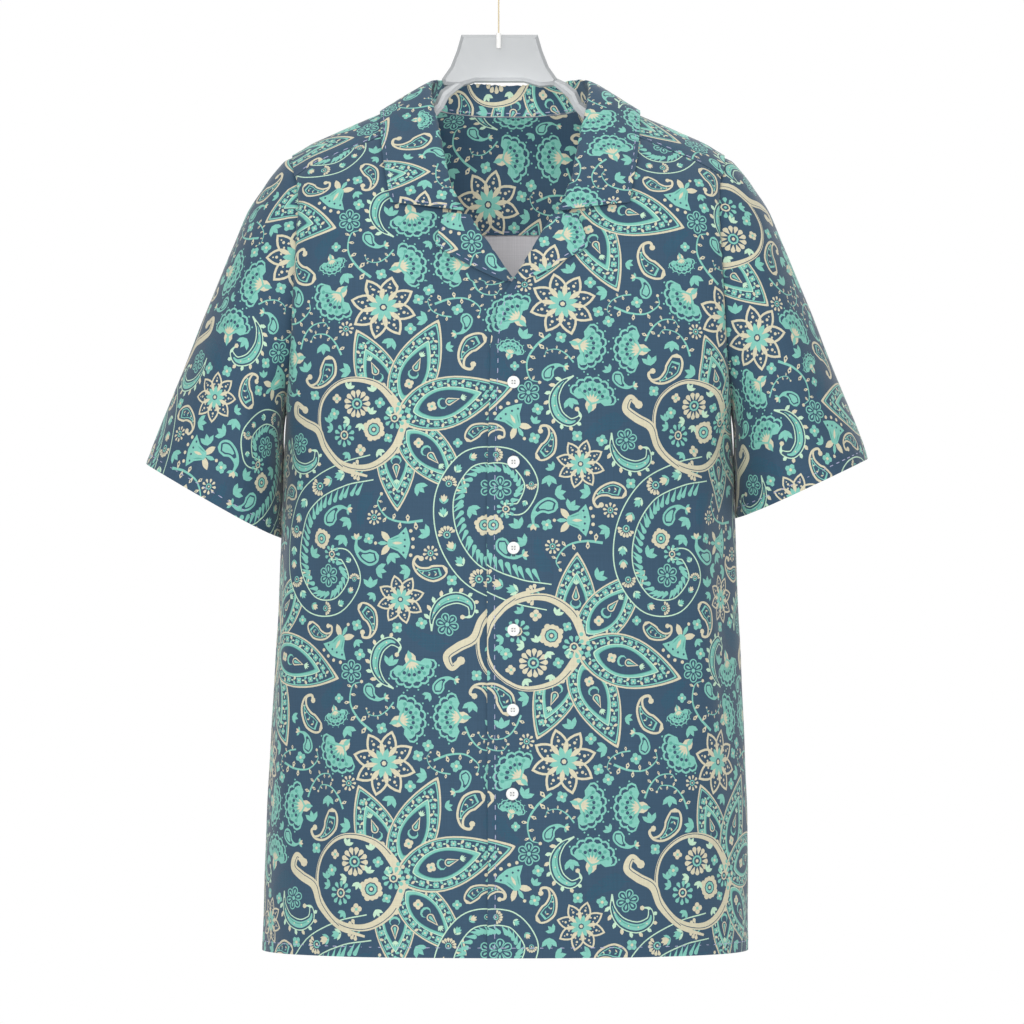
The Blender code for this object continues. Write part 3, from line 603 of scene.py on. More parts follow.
class Cloth:
    """One cloth piece: its surface, its flat pattern and the way back from one to the other."""

    def __init__(self, name, surface, side, size, start, rounds=300):
        """size is the number of pattern columns and rows; start(u, v) is where they begin."""
        self.name, self.surface, self.side = name, surface, side
        columns, rows = size
        self.u, self.v = np.meshgrid(np.linspace(0, 1, columns), np.linspace(0, 1, rows))
        shape = self.u.shape
        points = surface(self.u.ravel(), self.v.ravel()).reshape(*shape, 3)
        across = np.linalg.norm(np.diff(points, axis=1), axis=-1)
        upward = np.linalg.norm(np.diff(points, axis=0), axis=-1)
        left = np.concatenate([np.zeros((rows, 1)), np.cumsum(across, axis=1)], axis=1)
        low = np.concatenate([np.zeros((1, columns)), np.cumsum(upward, axis=0)], axis=0)
        self.edges = np.stack([left, left[:, -1:] - left, low, low[-1:] - low], -1)
        self.flat = flatten(points, start(left, low, points), rounds)
        self.flat_size = np.ptp(self.flat.reshape(-1, 2), axis=0)
        self.tree_from_pattern(rows, columns)

    def tree_from_pattern(self, rows, columns):
        number = np.arange(rows * columns).reshape(rows, columns)
        a, b = number[:-1, :-1].ravel(), number[:-1, 1:].ravel()
        c, d = number[1:, 1:].ravel(), number[1:, :-1].ravel()
        self.triangles = np.concatenate([np.stack([a, b, c], 1), np.stack([a, c, d], 1)])
        flat = self.flat.reshape(-1, 2)
        self.tree = BVHTree.FromPolygons([(x, y, 0) for x, y in flat], self.triangles.tolist())
        corners = flat[self.triangles]
        one, two = corners[:, 1] - corners[:, 0], corners[:, 2] - corners[:, 0]
        self.area = float(np.abs(one[:, 0] * two[:, 1] - one[:, 1] * two[:, 0]).sum() / 2)

    def read(self, grid, u, v):
        """A grid of values read at any u and v, by the same triangles as the pattern's."""
        rows, columns = self.u.shape
        x = np.clip(u, 0, 1) * (columns - 1)
        y = np.clip(v, 0, 1) * (rows - 1)
        i, j = np.minimum(x.astype(int), columns - 2), np.minimum(y.astype(int), rows - 2)
        s, t = (x - i)[..., None], (y - j)[..., None]
        low, high = grid[j, i], grid[j + 1, i + 1]
        return np.where(s >= t,
                        low + (grid[j, i + 1] - low) * s + (high - grid[j, i + 1]) * t,
                        low + (high - grid[j + 1, i]) * s + (grid[j + 1, i] - low) * t)

    def find(self, flat):
        """u and v of pattern points."""
        spots = [self.tree.find_nearest(Vector((x, y, 0))) for x, y in flat]
        corners = self.triangles[[spot[2] for spot in spots]]
        a, b, c = (self.flat.reshape(-1, 2)[corners[:, k]] for k in range(3))
        p = np.array([spot[0][:2] for spot in spots])
        cross = lambda m, n: m[:, 0] * n[:, 1] - m[:, 1] * n[:, 0]
        whole = cross(b - a, c - a)
        second, third = cross(p - a, c - a) / whole, cross(b - a, p - a) / whole
        share = np.stack([1 - second - third, second, third], 1)
        u = (self.u.ravel()[corners] * share).sum(1)
        v = (self.v.ravel()[corners] * share).sum(1)
        return u, v

    def outward(self, u, v):
        step = 0.002
        over = (self.surface(np.minimum(u + step, 1), v) - self.surface(np.maximum(u - step, 0), v))
        up = (self.surface(u, np.minimum(v + step, 1)) - self.surface(u, np.maximum(v - step, 0)))
        normal = np.cross(over, up) * self.side
        return normal / np.maximum(np.linalg.norm(normal, axis=-1, keepdims=True), 1e-12)

    def point(self, u, v, lift=0.0):
        """Points on the dressed surface, in the part's own frame, and their normals."""
        shape = np.shape(u) + (3,)
        u, v = np.ravel(u), np.ravel(v)
        normal = self.outward(u, v)
        push = relief(self.name, self.read(self.flat, u, v), self.read(self.edges, u, v))
        points = self.surface(u, v) + normal * (WALL / 2 + push + lift)[:, None]
        points += np.array([GARMENT_X, GARMENT_Y, -HANG_DROP])
        return points.reshape(shape), normal.reshape(shape)

    def outline(self, gap):
        """u and v round the piece's edge, about gap metres apart."""
        rows, columns = self.u.shape
        run = []
        for (u0, v0), (u1, v1) in (((0, 0), (1, 0)), ((1, 0), (1, 1)),
                                   ((1, 1), (0, 1)), ((0, 1), (0, 0))):
            t = np.linspace(0, 1, 600)
            line = self.read(self.flat, u0 + (u1 - u0) * t, v0 + (v1 - v0) * t)
            length = run_length(line)
            count = max(int(length[-1] / gap), 2)
            at = np.interp(np.arange(count) / count * length[-1], length, t)
            run.append(np.stack([u0 + (u1 - u0) * at, v0 + (v1 - v0) * at], 1))
        return np.concatenate(run)

    def inset(self, edge, reach, places):
        """u and v of a line that runs reach metres inside an edge, at places along it."""
        side = EDGES.index(edge)
        run = np.linspace(0, 1, 160)
        order = slice(None) if side in (0, 2) else slice(None, None, -1)
        found = []
        for place in places:
            same = np.full(len(run), place)
            u, v = (run, same) if side < 2 else (same, run)
            distance = self.read(self.edges, u, v)[:, side]
            found.append(np.interp(reach, distance[order], run[order]))
        return (np.array(found), places) if side < 2 else (places, np.array(found))


# ---------------------------------------------------------------- mesh of a printed shell
def turning(outline):
    """Twice the outline's area, minus where it runs clockwise."""
    x, y = np.asarray(outline).T
    return float(np.sum(x * np.roll(y, -1) - np.roll(x, -1) * y))


def triangulate(verts, faces, edges=()):
    """Triangles of a set of outlines and cuts, each outline a list of vertex numbers."""
    flat = np.array(verts)
    faces = [face if turning(flat[face]) > 0 else face[::-1] for face in faces]
    made = delaunay_2d_cdt([Vector(v) for v in verts], edges, faces, 1, 1e-6, True)
    return np.array([tuple(v) for v in made[0]]), made[2], made[3], made[5]


def inner_points(cloth, gap):
    """A staggered net of pattern points over the piece's bounding box."""
    flat = cloth.flat.reshape(-1, 2)
    low, high = flat.min(0), flat.max(0)
    net = []
    for k, y in enumerate(np.arange(low[1] + gap / 2, high[1], gap * ROW_SHARE)):
        x = np.arange(low[0] + gap * (0.5 + 0.5 * (k % 2)), high[0], gap)
        net.append(np.stack([x, np.full(len(x), y)], 1))
    return np.concatenate(net)


def placed(name, data):
    """An object of its own in the scene for a mesh, a lamp or a camera."""
    made = bpy.data.objects.new(name, data)
    bpy.context.scene.collection.objects.link(made)
    return made


def rim_of(triangles):
    """The edge loop round a set of triangles, in order."""
    sides = {(p, q): True for a, b, c in triangles for p, q in ((a, b), (b, c), (c, a))}
    follow_on = {p: q for p, q in sides if (q, p) not in sides}
    loop = [next(iter(follow_on))]
    for _ in range(len(follow_on) - 1):
        loop.append(follow_on[loop[-1]])
    return loop


def outer_face(cloth, design, gap):
    """Pattern points and triangles of the outer face, and the colour of each triangle."""
    edge_uv = cloth.outline(OUTLINE_GAP)
    edge = cloth.read(cloth.flat, edge_uv[:, 0], edge_uv[:, 1])
    shift = np.array(PRINT_SHIFTS[cloth.name])
    cuts, ends = design.cuts(edge.min(0) - shift, edge.max(0) - shift)
    verts = np.concatenate([edge, cuts + shift, inner_points(cloth, gap)])
    flat, triangles, _, owners = triangulate(verts, [list(range(len(edge)))],
                                             (ends + len(edge)).tolist())
    outer = np.array([t for t, own in zip(triangles, owners) if own])
    slots = design.tints_at(flat[outer].mean(1) - shift)
    used = np.unique(outer)
    renumber = np.full(len(flat), -1)
    renumber[used] = np.arange(len(used))
    return flat[used], renumber[outer], slots


def inner_face(cloth, rim, gap):
    """The face behind it: points, triangles, and the number there of each point of the rim."""
    verts = [tuple(p) for p in np.concatenate([rim, inner_points(cloth, gap)])]
    flat, triangles, sources, owners = triangulate(verts, [list(range(len(rim)))])
    number = {s: k for k, source in enumerate(sources) for s in source if s < len(rim)}
    return flat, [t for t, own in zip(triangles, owners) if own], number


def face_outward(mesh, normal):
    """Turn all faces of a closed mesh over if its first one looks away from the normal."""
    work = bmesh.new()
    work.from_mesh(mesh)
    work.faces.ensure_lookup_table()
    if work.faces[0].normal.dot(Vector(normal)) < 0:
        bmesh.ops.reverse_faces(work, faces=work.faces)
    work.to_mesh(mesh)
    work.free()


def shell(cloth, design, finishes, gap, thickness, reverse_slot):
    """A closed thin shell with the design's colours on its outer face."""
    flat, outer, slots = outer_face(cloth, design, gap)
    loop = rim_of(outer)
    inside, inner, number = inner_face(cloth, flat[loop], gap * 1.4)
    u, v = cloth.find(flat)
    top, _ = cloth.point(u, v)
    under, _ = cloth.point(*cloth.find(inside), lift=-thickness)
    count = len(top)
    faces = [tuple(t) for t in outer]
    faces += [tuple(count + k for k in reversed(t)) for t in inner]
    for k in range(len(loop)):
        m = (k + 1) % len(loop)
        faces.append((loop[m], loop[k], count + number[k], count + number[m]))
    slots += [reverse_slot] * len(inner) + [GROUND] * len(loop)
    mesh = bpy.data.meshes.new(cloth.name + "_cloth")
    mesh.from_pydata(np.concatenate([top, under]).tolist(), [], faces)
    for finish in finishes:
        mesh.materials.append(finish)
    mesh.polygons.foreach_set("material_index", slots)
    pattern = np.concatenate([flat, inside])
    layer = mesh.uv_layers.new(name="pattern")
    corner = np.zeros(len(mesh.loops), dtype=int)
    mesh.loops.foreach_get("vertex_index", corner)
    layer.uv.foreach_set("vector", pattern[corner].astype(np.float32).ravel())
    first = [places[outer[0]].mean(keepdims=True) for places in (u, v)]
    face_outward(mesh, cloth.outward(*first)[0])
    mesh.shade_smooth()
    mesh.set_sharp_from_angle(angle=math.radians(50))
    made = placed(cloth.name + "_cloth", mesh)
    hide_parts(cloth.name)
    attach(made, "root")
    tuple(float(s) for s in cloth.flat_size)
    min(cloth.area, float(np.prod(cloth.flat_size)))


# ---------------------------------------------------------------- sewing
STITCH_PITCH = 0.0088
STITCH_LENGTH = 0.0052
THREAD_HALF = 0.00042
THREAD_RISE = 0.00020       # how far a stitch's middle line stands over the groove it lies in
# Stitched lines of each piece: edge, distance from it, then from where to where along it
HEM_LINE = ("low", HEM_IN, 0.01, 0.99)
CUFF_LINES = (("high", HEM_IN, 0.01, 0.99),)
LAPEL_LINES = (("high", COLLAR_IN, 0.03, 0.95), ("left", COLLAR_IN, 0.20, 0.95))
STITCHES = {
    "front_right": (HEM_LINE,),
    "front_left": (HEM_LINE, ("left", BUTTON_EDGE_IN, 0.01, 0.985)),
    "back": (HEM_LINE,),
    "yoke": (("high", YOKE_IN, 0.02, 0.33), ("high", YOKE_IN, 0.67, 0.98),
             ("low", YOKE_IN, 0.02, 0.98)),
    "inner_yoke": (("low", 0.0030, 0.02, 0.98),),
    "sleeve_right": CUFF_LINES,
    "sleeve_left": CUFF_LINES,
    "collar": (("high", COLLAR_IN, 0.012, 0.988), ("left", COLLAR_IN, 0.15, 0.97),
               ("right", COLLAR_IN, 0.15, 0.97), ("low", 0.0030, 0.20, 0.80)),
    "lapel_right": LAPEL_LINES,
    "lapel_left": LAPEL_LINES,
}


def new_piece(name, verts, faces, finish):
    """A smooth object of one finish that moves with the shirt."""
    mesh = bpy.data.meshes.new(name)
    mesh.from_pydata(np.asarray(verts).reshape(-1, 3).tolist(), [], faces)
    work = bmesh.new()
    work.from_mesh(mesh)
    bmesh.ops.recalc_face_normals(work, faces=work.faces)
    work.to_mesh(mesh)
    work.free()
    mesh.materials.append(finish)
    mesh.shade_smooth()
    made = placed(name, mesh)
    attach(made, "root")
    return made


def grains(points, normals, half, rise):
    """Closed spindle meshes, each along one row of four points."""
    sides = 6
    along = points[:, -1] - points[:, 0]
    along /= np.linalg.norm(along, axis=1, keepdims=True)
    up = normals[:, 1]
    aside = np.cross(up, along)
    angle = np.arange(sides) * 2 * math.pi / sides
    ring = (np.cos(angle)[:, None] * aside[:, None] * half
            + np.sin(angle)[:, None] * up[:, None] * rise)
    verts, faces = [], []
    for k in range(len(points)):
        first = len(verts)
        verts += [points[k, 0], *(points[k, 1] + ring[k]), *(points[k, 2] + ring[k]), points[k, 3]]
        for m in range(sides):
            a, b = first + 1 + m, first + 1 + (m + 1) % sides
            faces += [(first, b, a), (a, b, b + sides, a + sides),
                      (first + 1 + 2 * sides, a + sides, b + sides)]
    return verts, faces


def stitches(cloth, finish):
    """Every stitched line of a piece, as one object of separate stitches."""
    points, normals = [], []
    for edge, reach, start, end in STITCHES[cloth.name]:
        u, v = cloth.inset(edge, reach, np.linspace(start, end, 160))
        line = cloth.read(cloth.flat, u, v)
        length = run_length(line)
        first = np.arange(int(length[-1] / STITCH_PITCH)) * STITCH_PITCH
        first = first + 0.0005 * np.sin(first * 811)
        part = np.array([0, 0.16, 0.84, 1]) * STITCH_LENGTH
        at = first[:, None] + part
        spot, normal = cloth.point(np.interp(at, length, u), np.interp(at, length, v), THREAD_RISE)
        spot[:, [0, 3]] -= normal[:, [0, 3]] * THREAD_HALF
        points.append(spot)
        normals.append(normal)
    verts, faces = grains(np.concatenate(points), np.concatenate(normals), THREAD_HALF,
                          THREAD_HALF * 0.8)
    return new_piece(cloth.name + "_stitches", verts, faces, finish)


BUTTONS = [f"button_{number}" for number in range(1, 7)]
BUTTON_PROFILE = (          # share of the radius, share of the half thickness
    (0.0, 0.30),
    (0.48, 0.34),
    (0.60, 0.62),
    (0.70, 0.95),
    (0.82, 1.00),
    (0.93, 0.80),
    (1.0, 0.10),
)
BUTTON_HOLE = 0.00062       # radius of a hole
HOLE_OUT = 0.00115          # how far a hole is from the middle, across and up
HOLES = [(x, y) for x in (-HOLE_OUT, HOLE_OUT) for y in (-HOLE_OUT, HOLE_OUT)]
RIM_SIDES, RING_SIDES, HOLE_SIDES = 48, 36, 12
BUTTON_THREAD = 0.00026     # half width
THREAD_ASIDE = 0.00022      # two threads lie this far to each side of a hole's middle
SLOT_HALF = 0.0068
SLOT_PITCH = 0.00075
PURL = 0.0008               # half length of a buttonhole stitch
PURL_HALF, PURL_RISE = 0.00036, 0.0003


def ring_points(radius, count, x=0.0, y=0.0):
    angle = np.arange(count) * 2 * math.pi / count
    return [(x + radius * math.cos(a), y + radius * math.sin(a)) for a in angle]


def four_hole_button(name, finish, thread):
    """A turned button with a raised rim and four holes, and the thread through them."""
    low, high = (np.array(corner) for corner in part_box(name))
    middle, half = (low + high) / 2, (high - low) / 2
    radius = half[0]
    verts = ring_points(radius, RIM_SIDES)
    faces = [list(range(RIM_SIDES))]
    for x, y in HOLES:
        faces.append(list(range(len(verts), len(verts) + HOLE_SIDES)))
        verts += ring_points(BUTTON_HOLE, HOLE_SIDES, x, y)
    for share, _ in BUTTON_PROFILE[1:-1]:
        verts += ring_points(radius * share, RING_SIDES)
    flat, triangles, _, owners = triangulate(verts, faces)
    triangles = [t for t, own in zip(triangles, owners) if list(own) == [0]]
    out = np.hypot(flat[:, 0], flat[:, 1]) / radius
    rise = np.interp(out, *zip(*BUTTON_PROFILE)) * half[1]
    front = np.stack([flat[:, 0], -rise, flat[:, 1]], 1)
    rear = np.stack([flat[:, 0], np.where(out > 0.97, 0.2, 1.0) * half[1], flat[:, 1]], 1)
    count = len(flat)
    made = [tuple(t) for t in triangles] + [tuple(count + k for k in t[::-1]) for t in triangles]
    sides = {(a, b) for t in triangles for a, b in zip(t, t[1:] + t[:1])}
    made += [(b, a, count + a, count + b) for a, b in sides if (b, a) not in sides]
    button = new_piece(name + "_turned", middle + np.concatenate([front, rear]), made, finish)
    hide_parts(name)
    runs = []
    for x in (-HOLE_OUT, HOLE_OUT):
        for aside in (-THREAD_ASIDE, THREAD_ASIDE):
            runs.append([(x + aside, -half[1] * depth, y * HOLE_OUT)
                         for y, depth in ((-1.1, -0.2), (-0.8, 0.62), (0.8, 0.62), (1.1, -0.2))])
    runs = np.array(runs) + middle
    normals = np.zeros_like(runs) + (0, -1, 0)
    verts, faces = grains(runs, normals, BUTTON_THREAD, BUTTON_THREAD)
    new_piece(name + "_thread", verts, faces, thread)


def buttonhole(cloth, name, thread):
    """Close stitches on both sides of an upright slot behind a button."""
    low, high = (np.array(corner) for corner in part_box(name))
    middle = (low + high) / 2
    grid, _ = cloth.point(cloth.u, cloth.v)
    off = grid[..., ::2] - middle[::2]
    nearest = np.unravel_index(np.argmin((off ** 2).sum(-1)), cloth.u.shape)
    centre = cloth.flat[nearest] - off[nearest]
    rows = np.arange(-SLOT_HALF, SLOT_HALF, SLOT_PITCH)
    runs = [[(x + side * PURL * part, y) for part in (-1, -0.6, 0.6, 1)]
            for side in (-1, 1) for x in (side * PURL,) for y in rows]
    runs += [[(x, side * (SLOT_HALF + 0.0004)) for x in np.array((-1, -0.7, 0.7, 1)) * 2 * PURL]
             for side in (-1, 1)]
    spots = np.array(runs) + centre
    u, v = cloth.find(spots.reshape(-1, 2))
    points, normals = cloth.point(u, v, THREAD_RISE)
    shape = spots.shape[:2] + (3,)
    verts, faces = grains(points.reshape(shape), normals.reshape(shape), PURL_HALF,
                          PURL_RISE)
    new_piece(name + "_buttonhole", verts, faces, thread)


# ---------------------------------------------------------------- the print
GROUND, MINT, CREAM, PALE, DEEP, SHADE, REVERSE = range(7)
# The print is drawn in millimetres: every motif is a list of (outline, colour), later ones on top.
COLUMN, REPEAT = 152.0, 408.0   # width of a column and height of a repeat; columns half-drop
REACH = 140.0                   # how far a column's motifs reach past it


def turned_to(outline, x, y, angle):
    c, s = math.cos(math.radians(angle)), math.sin(math.radians(angle))
    outline = np.asarray(outline, float)
    return np.stack([x + c * outline[:, 0] - s * outline[:, 1],
                     y + s * outline[:, 0] + c * outline[:, 1]], 1)


def moved(motif, x, y, angle=0.0, scale=1.0, mirror=False):
    flip = np.array([1, -1 if mirror else 1])
    return [(turned_to(outline * flip * scale, x, y, angle), tint) for outline, tint in motif]


def spun(motif, count, start=0.0):
    """Copies of a motif turned round its foot, at even angles."""
    return [part for k in range(count) for part in moved(motif, 0, 0, start + 360 * k / count)]


def reach_to(radius, angle):
    return radius * math.cos(math.radians(angle)), radius * math.sin(math.radians(angle))


def heading_of(way):
    return math.degrees(math.atan2(way[1], way[0]))


def oval(x, y, a, b):
    t = np.linspace(0, 2 * math.pi, int(np.clip(5 + 0.8 * max(a, b), 5, 16)), endpoint=False)
    return np.stack([x + a * np.cos(t), y + b * np.sin(t)], 1)


def dots(*rows, x=0.0, y=0.0):
    """Round spots on one centre, one for each radius and colour."""
    return [(oval(x, y, radius, radius), tint) for radius, tint in rows]


def leaf(x, y, angle, length, width, blunt=0.85, points=None):
    """A leaf from its foot at x, y: pointed, or rounder at the far end where blunt is small."""
    points = points or (1 if length < 4.5 else 2 if length < 12 else 4)
    t = np.linspace(0, 1, points + 2)[1:-1]
    half = width / 2 * np.sin(math.pi * t ** (1 / blunt)) ** 0.8
    shape = np.concatenate([[(0, 0)], np.stack([t * length, half], 1), [(length, 0)],
                            np.stack([t * length, -half], 1)[::-1]])
    return turned_to(shape, x, y, angle)


def petal(x, y, angle, length, width, points=None):
    """A round-ended petal from its foot."""
    points = points or int(np.clip(3 + 0.45 * width, 4, 7))
    t = np.linspace(-math.pi / 2, math.pi / 2, points)
    cap = np.stack([length - width / 2 + width / 2 * np.cos(t), width / 2 * np.sin(t)], 1)
    return turned_to(np.concatenate([[(0, 0)], cap]), x, y, angle)


def curve_through(points, count):
    """Smooth line through given points."""
    points = np.asarray(points, float)
    padded = np.concatenate([[2 * points[0] - points[1]], points, [2 * points[-1] - points[-2]]])
    place = np.linspace(0, len(points) - 1 - 1e-9, count)
    i = place.astype(int)
    t = (place - i)[:, None]
    a, b, c, d = (padded[i + k] for k in range(4))
    return ((2 * b) + (c - a) * t + (2 * a - 5 * b + 4 * c - d) * t**2
            + (3 * b - a - 3 * c + d) * t**3) / 2


def sides_of(line):
    along = np.gradient(line, axis=0)
    along /= np.linalg.norm(along, axis=1, keepdims=True)
    return along, np.stack([-along[:, 1], along[:, 0]], 1)


def ribbon(line, half):
    """Outline of a band along a line, with a half width at each of its points."""
    _, out = sides_of(line)
    half = np.broadcast_to(np.maximum(half, 0.05), len(line))[:, None]
    return np.concatenate([line + out * half, (line - out * half)[::-1]])


def drop_halves(count, widest, thin, head, tail, power):
    """Half widths of a drop: a round head, then a tail that thins."""
    t = np.linspace(0, 1, count)
    bulge = widest * np.sqrt(np.clip(1 - (1 - np.minimum(t / head, 1)) ** 2, 0, 1))
    thinning = thin + (widest - thin) * np.clip(1 - (t - head) / tail, 0, 1) ** power
    return np.where(t > head, thinning, bulge)


def little_flower(tint=MINT, heart=CREAM, size=3.4):
    return spun([(petal(0, 0, 0, size, size * 0.95), tint)], 4, 45) + dots((size * 0.28, heart))


def ring_flower():
    """Six small outlined petals with a bar in each."""
    return (spun([(petal(0, 0, 0, 10.5, 7.4, 8), MINT)], 6, 30)
            + spun([(petal(0, 0, 0, 9.5, 5.4, 7), GROUND)], 6, 30)
            + spun([(leaf(3.4, 0, 0, 5.0, 2.0), MINT)], 6, 30) + dots((2.9, GROUND), (2.0, MINT)))


def daisy(petals=9, radius=7, tint=CREAM, heart=MINT, spread=360.0, start=0.0):
    """A daisy seen from the front, or a fan of its petals."""
    gaps = petals if spread >= 360 else petals - 1
    made = []
    for k in range(petals):
        angle = start + spread * k / gaps
        made.append((petal(*reach_to(radius * 0.42, angle), angle, radius * 0.58, radius * 0.36),
                     tint))
    return made + dots((radius * 0.40, heart), (radius * 0.27, GROUND), (radius * 0.13, tint))


def square_flower():
    """A square cream flower with a mint heart."""
    corner = [(petal(0, 0, -13, 10.2, 5.4), CREAM), (petal(0, 0, 13, 10.2, 5.4), CREAM),
              (petal(0, 0, 45, 11.4, 6.0), CREAM)]
    return spun(corner, 4) + dots((6.2, GROUND), (5.2, MINT), (2.9, GROUND), (1.7, CREAM))


def star_flower():
    """A large pointed flower: dotted cream outline petals round mint ones."""
    made = spun([(leaf(5, 0, 0, 25, 16, 1.25, 5), CREAM)], 8)
    made += spun([(leaf(6, 0, 0, 21, 12.2, 1.25, 5), GROUND)], 8)
    for k in range(8):
        for x, y, radius in ((19, 0, 1.5), (15, 2.8, 1.2), (15, -2.8, 1.2), (22.4, 0, 0.9)):
            x, y = turned_to([(x, y)], 0, 0, 45 * k)[0]
            made += dots((radius, CREAM), x=x, y=y)
        made += moved([(leaf(5, 0, 0, 14.5, 4.6, 0.8), CREAM)], 0, 0, 45 * k + 22.5)
        made.append((leaf(0, 0, 45 * k, 13.5, 5.4), MINT))
    return made + dots((3.6, GROUND), (2.2, CREAM))


def carnation():
    """A scalloped fan flower on a small cup."""
    made = []
    for radius, size, tint, count in ((15.5, 4.6, MINT, 7), (15.2, 3.3, GROUND, 7),
                                      (11.5, 4.8, MINT, 6)):
        for k in range(count):
            x, y = reach_to(radius, 20 + 140 * k / (count - 1))
            made += dots((size, tint), x=x, y=y)
    made.append((np.array([(0, -3)] + [reach_to(11.8, a) for a in range(15, 170, 15)]), MINT))
    for k in range(6):
        x, y = reach_to(12.9, 28 + 24.8 * k)
        made.append((leaf(*reach_to(12.6, 28 + 24.8 * k), 208 + 24.8 * k, 9.0, 1.3), SHADE))
        made += dots((1.5, SHADE), x=x, y=y)
    for k in range(5):
        x, y = reach_to(9.5, 40 + 25 * k)
        made += dots((1.5, GROUND), x=x, y=y)
        made.append((leaf(0, -1, 40 + 25 * k, 7.0, 1.8), CREAM))
    made += [(leaf(0, -9, 65, 9.5, 4.0), CREAM), (leaf(0, -9, 115, 9.5, 4.0), CREAM),
             (leaf(0, -10, 90, 8.0, 4.0), MINT)]
    for k in range(7):
        x, y = reach_to(21.4, 20 + 140 * k / 6)
        made += dots((0.8, MINT), x=x, y=y)
    return made


def bell():
    """A hanging bell flower with a dotted skirt and a pair of leaves."""
    skirt = [(-3, 2), (3, 2), (6.5, -6), (12.5, -12), (7, -14), (0, -15.5), (-7, -14),
             (-12.5, -12), (-6.5, -6)]
    made = [(leaf(0, 0, 140, 12, 5.0), CREAM), (leaf(0, 0, 40, 12, 5.0), CREAM),
            (np.array(skirt, float), MINT)]
    made += dots((4.2, MINT), y=-1)
    made += [(leaf(-2.2, 1, 252, 9, 1.2), SHADE), (leaf(2.2, 1, 288, 9, 1.2), SHADE)]
    for x in (-7.5, -2.5, 2.5, 7.5):
        made += dots((1.0, GROUND), x=x, y=-11.2 + 0.02 * x * x)
        made += dots((1.5, CREAM), x=x * 1.25, y=-17.8 + 0.035 * x * x)
    made += [(leaf(0, -9.5, 90, 8.5, 2.4), CREAM), (leaf(0, 2, 90, 9, 3.4), MINT)]
    return made + dots((1.4, CREAM), y=12.5)


def tulip(tint, side):
    return [(leaf(0, 0, 50, 8.0, 3.0), side), (leaf(0, 0, 130, 8.0, 3.0), side),
            (leaf(0, 2, 90, 9.0, 3.6), tint), (leaf(0, 2, 66, 8.0, 3.0), tint),
            (leaf(0, 2, 114, 8.0, 3.0), tint)]


PAISLEY_LINE = ((0, 0), (2, 9), (1, 19), (-5, 28), (-13.5, 31), (-18.5, 26.5), (-15.5, 22))
COMMA_LINE = ((0, 0), (2, 8), (0, 16), (-7, 22), (-15, 22))


def paisley():
    """A small curled paisley, about 32 mm long, filled with paired leaves."""
    line = curve_through(PAISLEY_LINE, 30)
    half = drop_halves(30, 8.4, 1.3, 0.28, 0.42, 1.25)
    made = [(ribbon(line, half), CREAM)] + dots((2.7, CREAM), x=-15.6, y=22.6)
    for first, last, rim, tint in ((2, 20, 2.1, GROUND), (4, 17, 3.4, MINT), (5, 15, 4.3, GROUND)):
        made.append((ribbon(line[first:last], half[first:last] - rim), tint))
    for k in (4, 7, 10, 13):
        spot, heading = line[k + 2], heading_of(line[k + 3] - line[k + 2])
        made += [(leaf(*spot, heading + 42, 4.6 - 0.22 * k, 1.7), MINT),
                 (leaf(*spot, heading - 42, 4.6 - 0.22 * k, 1.7), CREAM)]
    return made


def comma():
    """A solid mint drop with a light line inside and a crown at its tip."""
    line = curve_through(COMMA_LINE, 22)
    half = drop_halves(22, 7.4, 1.2, 0.3, 0.6, 1.3)
    made = [(ribbon(line, half), MINT), (ribbon(line[2:14], half[2:14] - 2.2), GROUND),
            (ribbon(line[3:12], half[3:12] - 3.6), MINT)]
    for angle, tint in ((120, MINT), (160, CREAM), (200, CREAM), (240, MINT)):
        made.append((leaf(-14, 22, angle, 6.5, 3.0), tint))
    return made


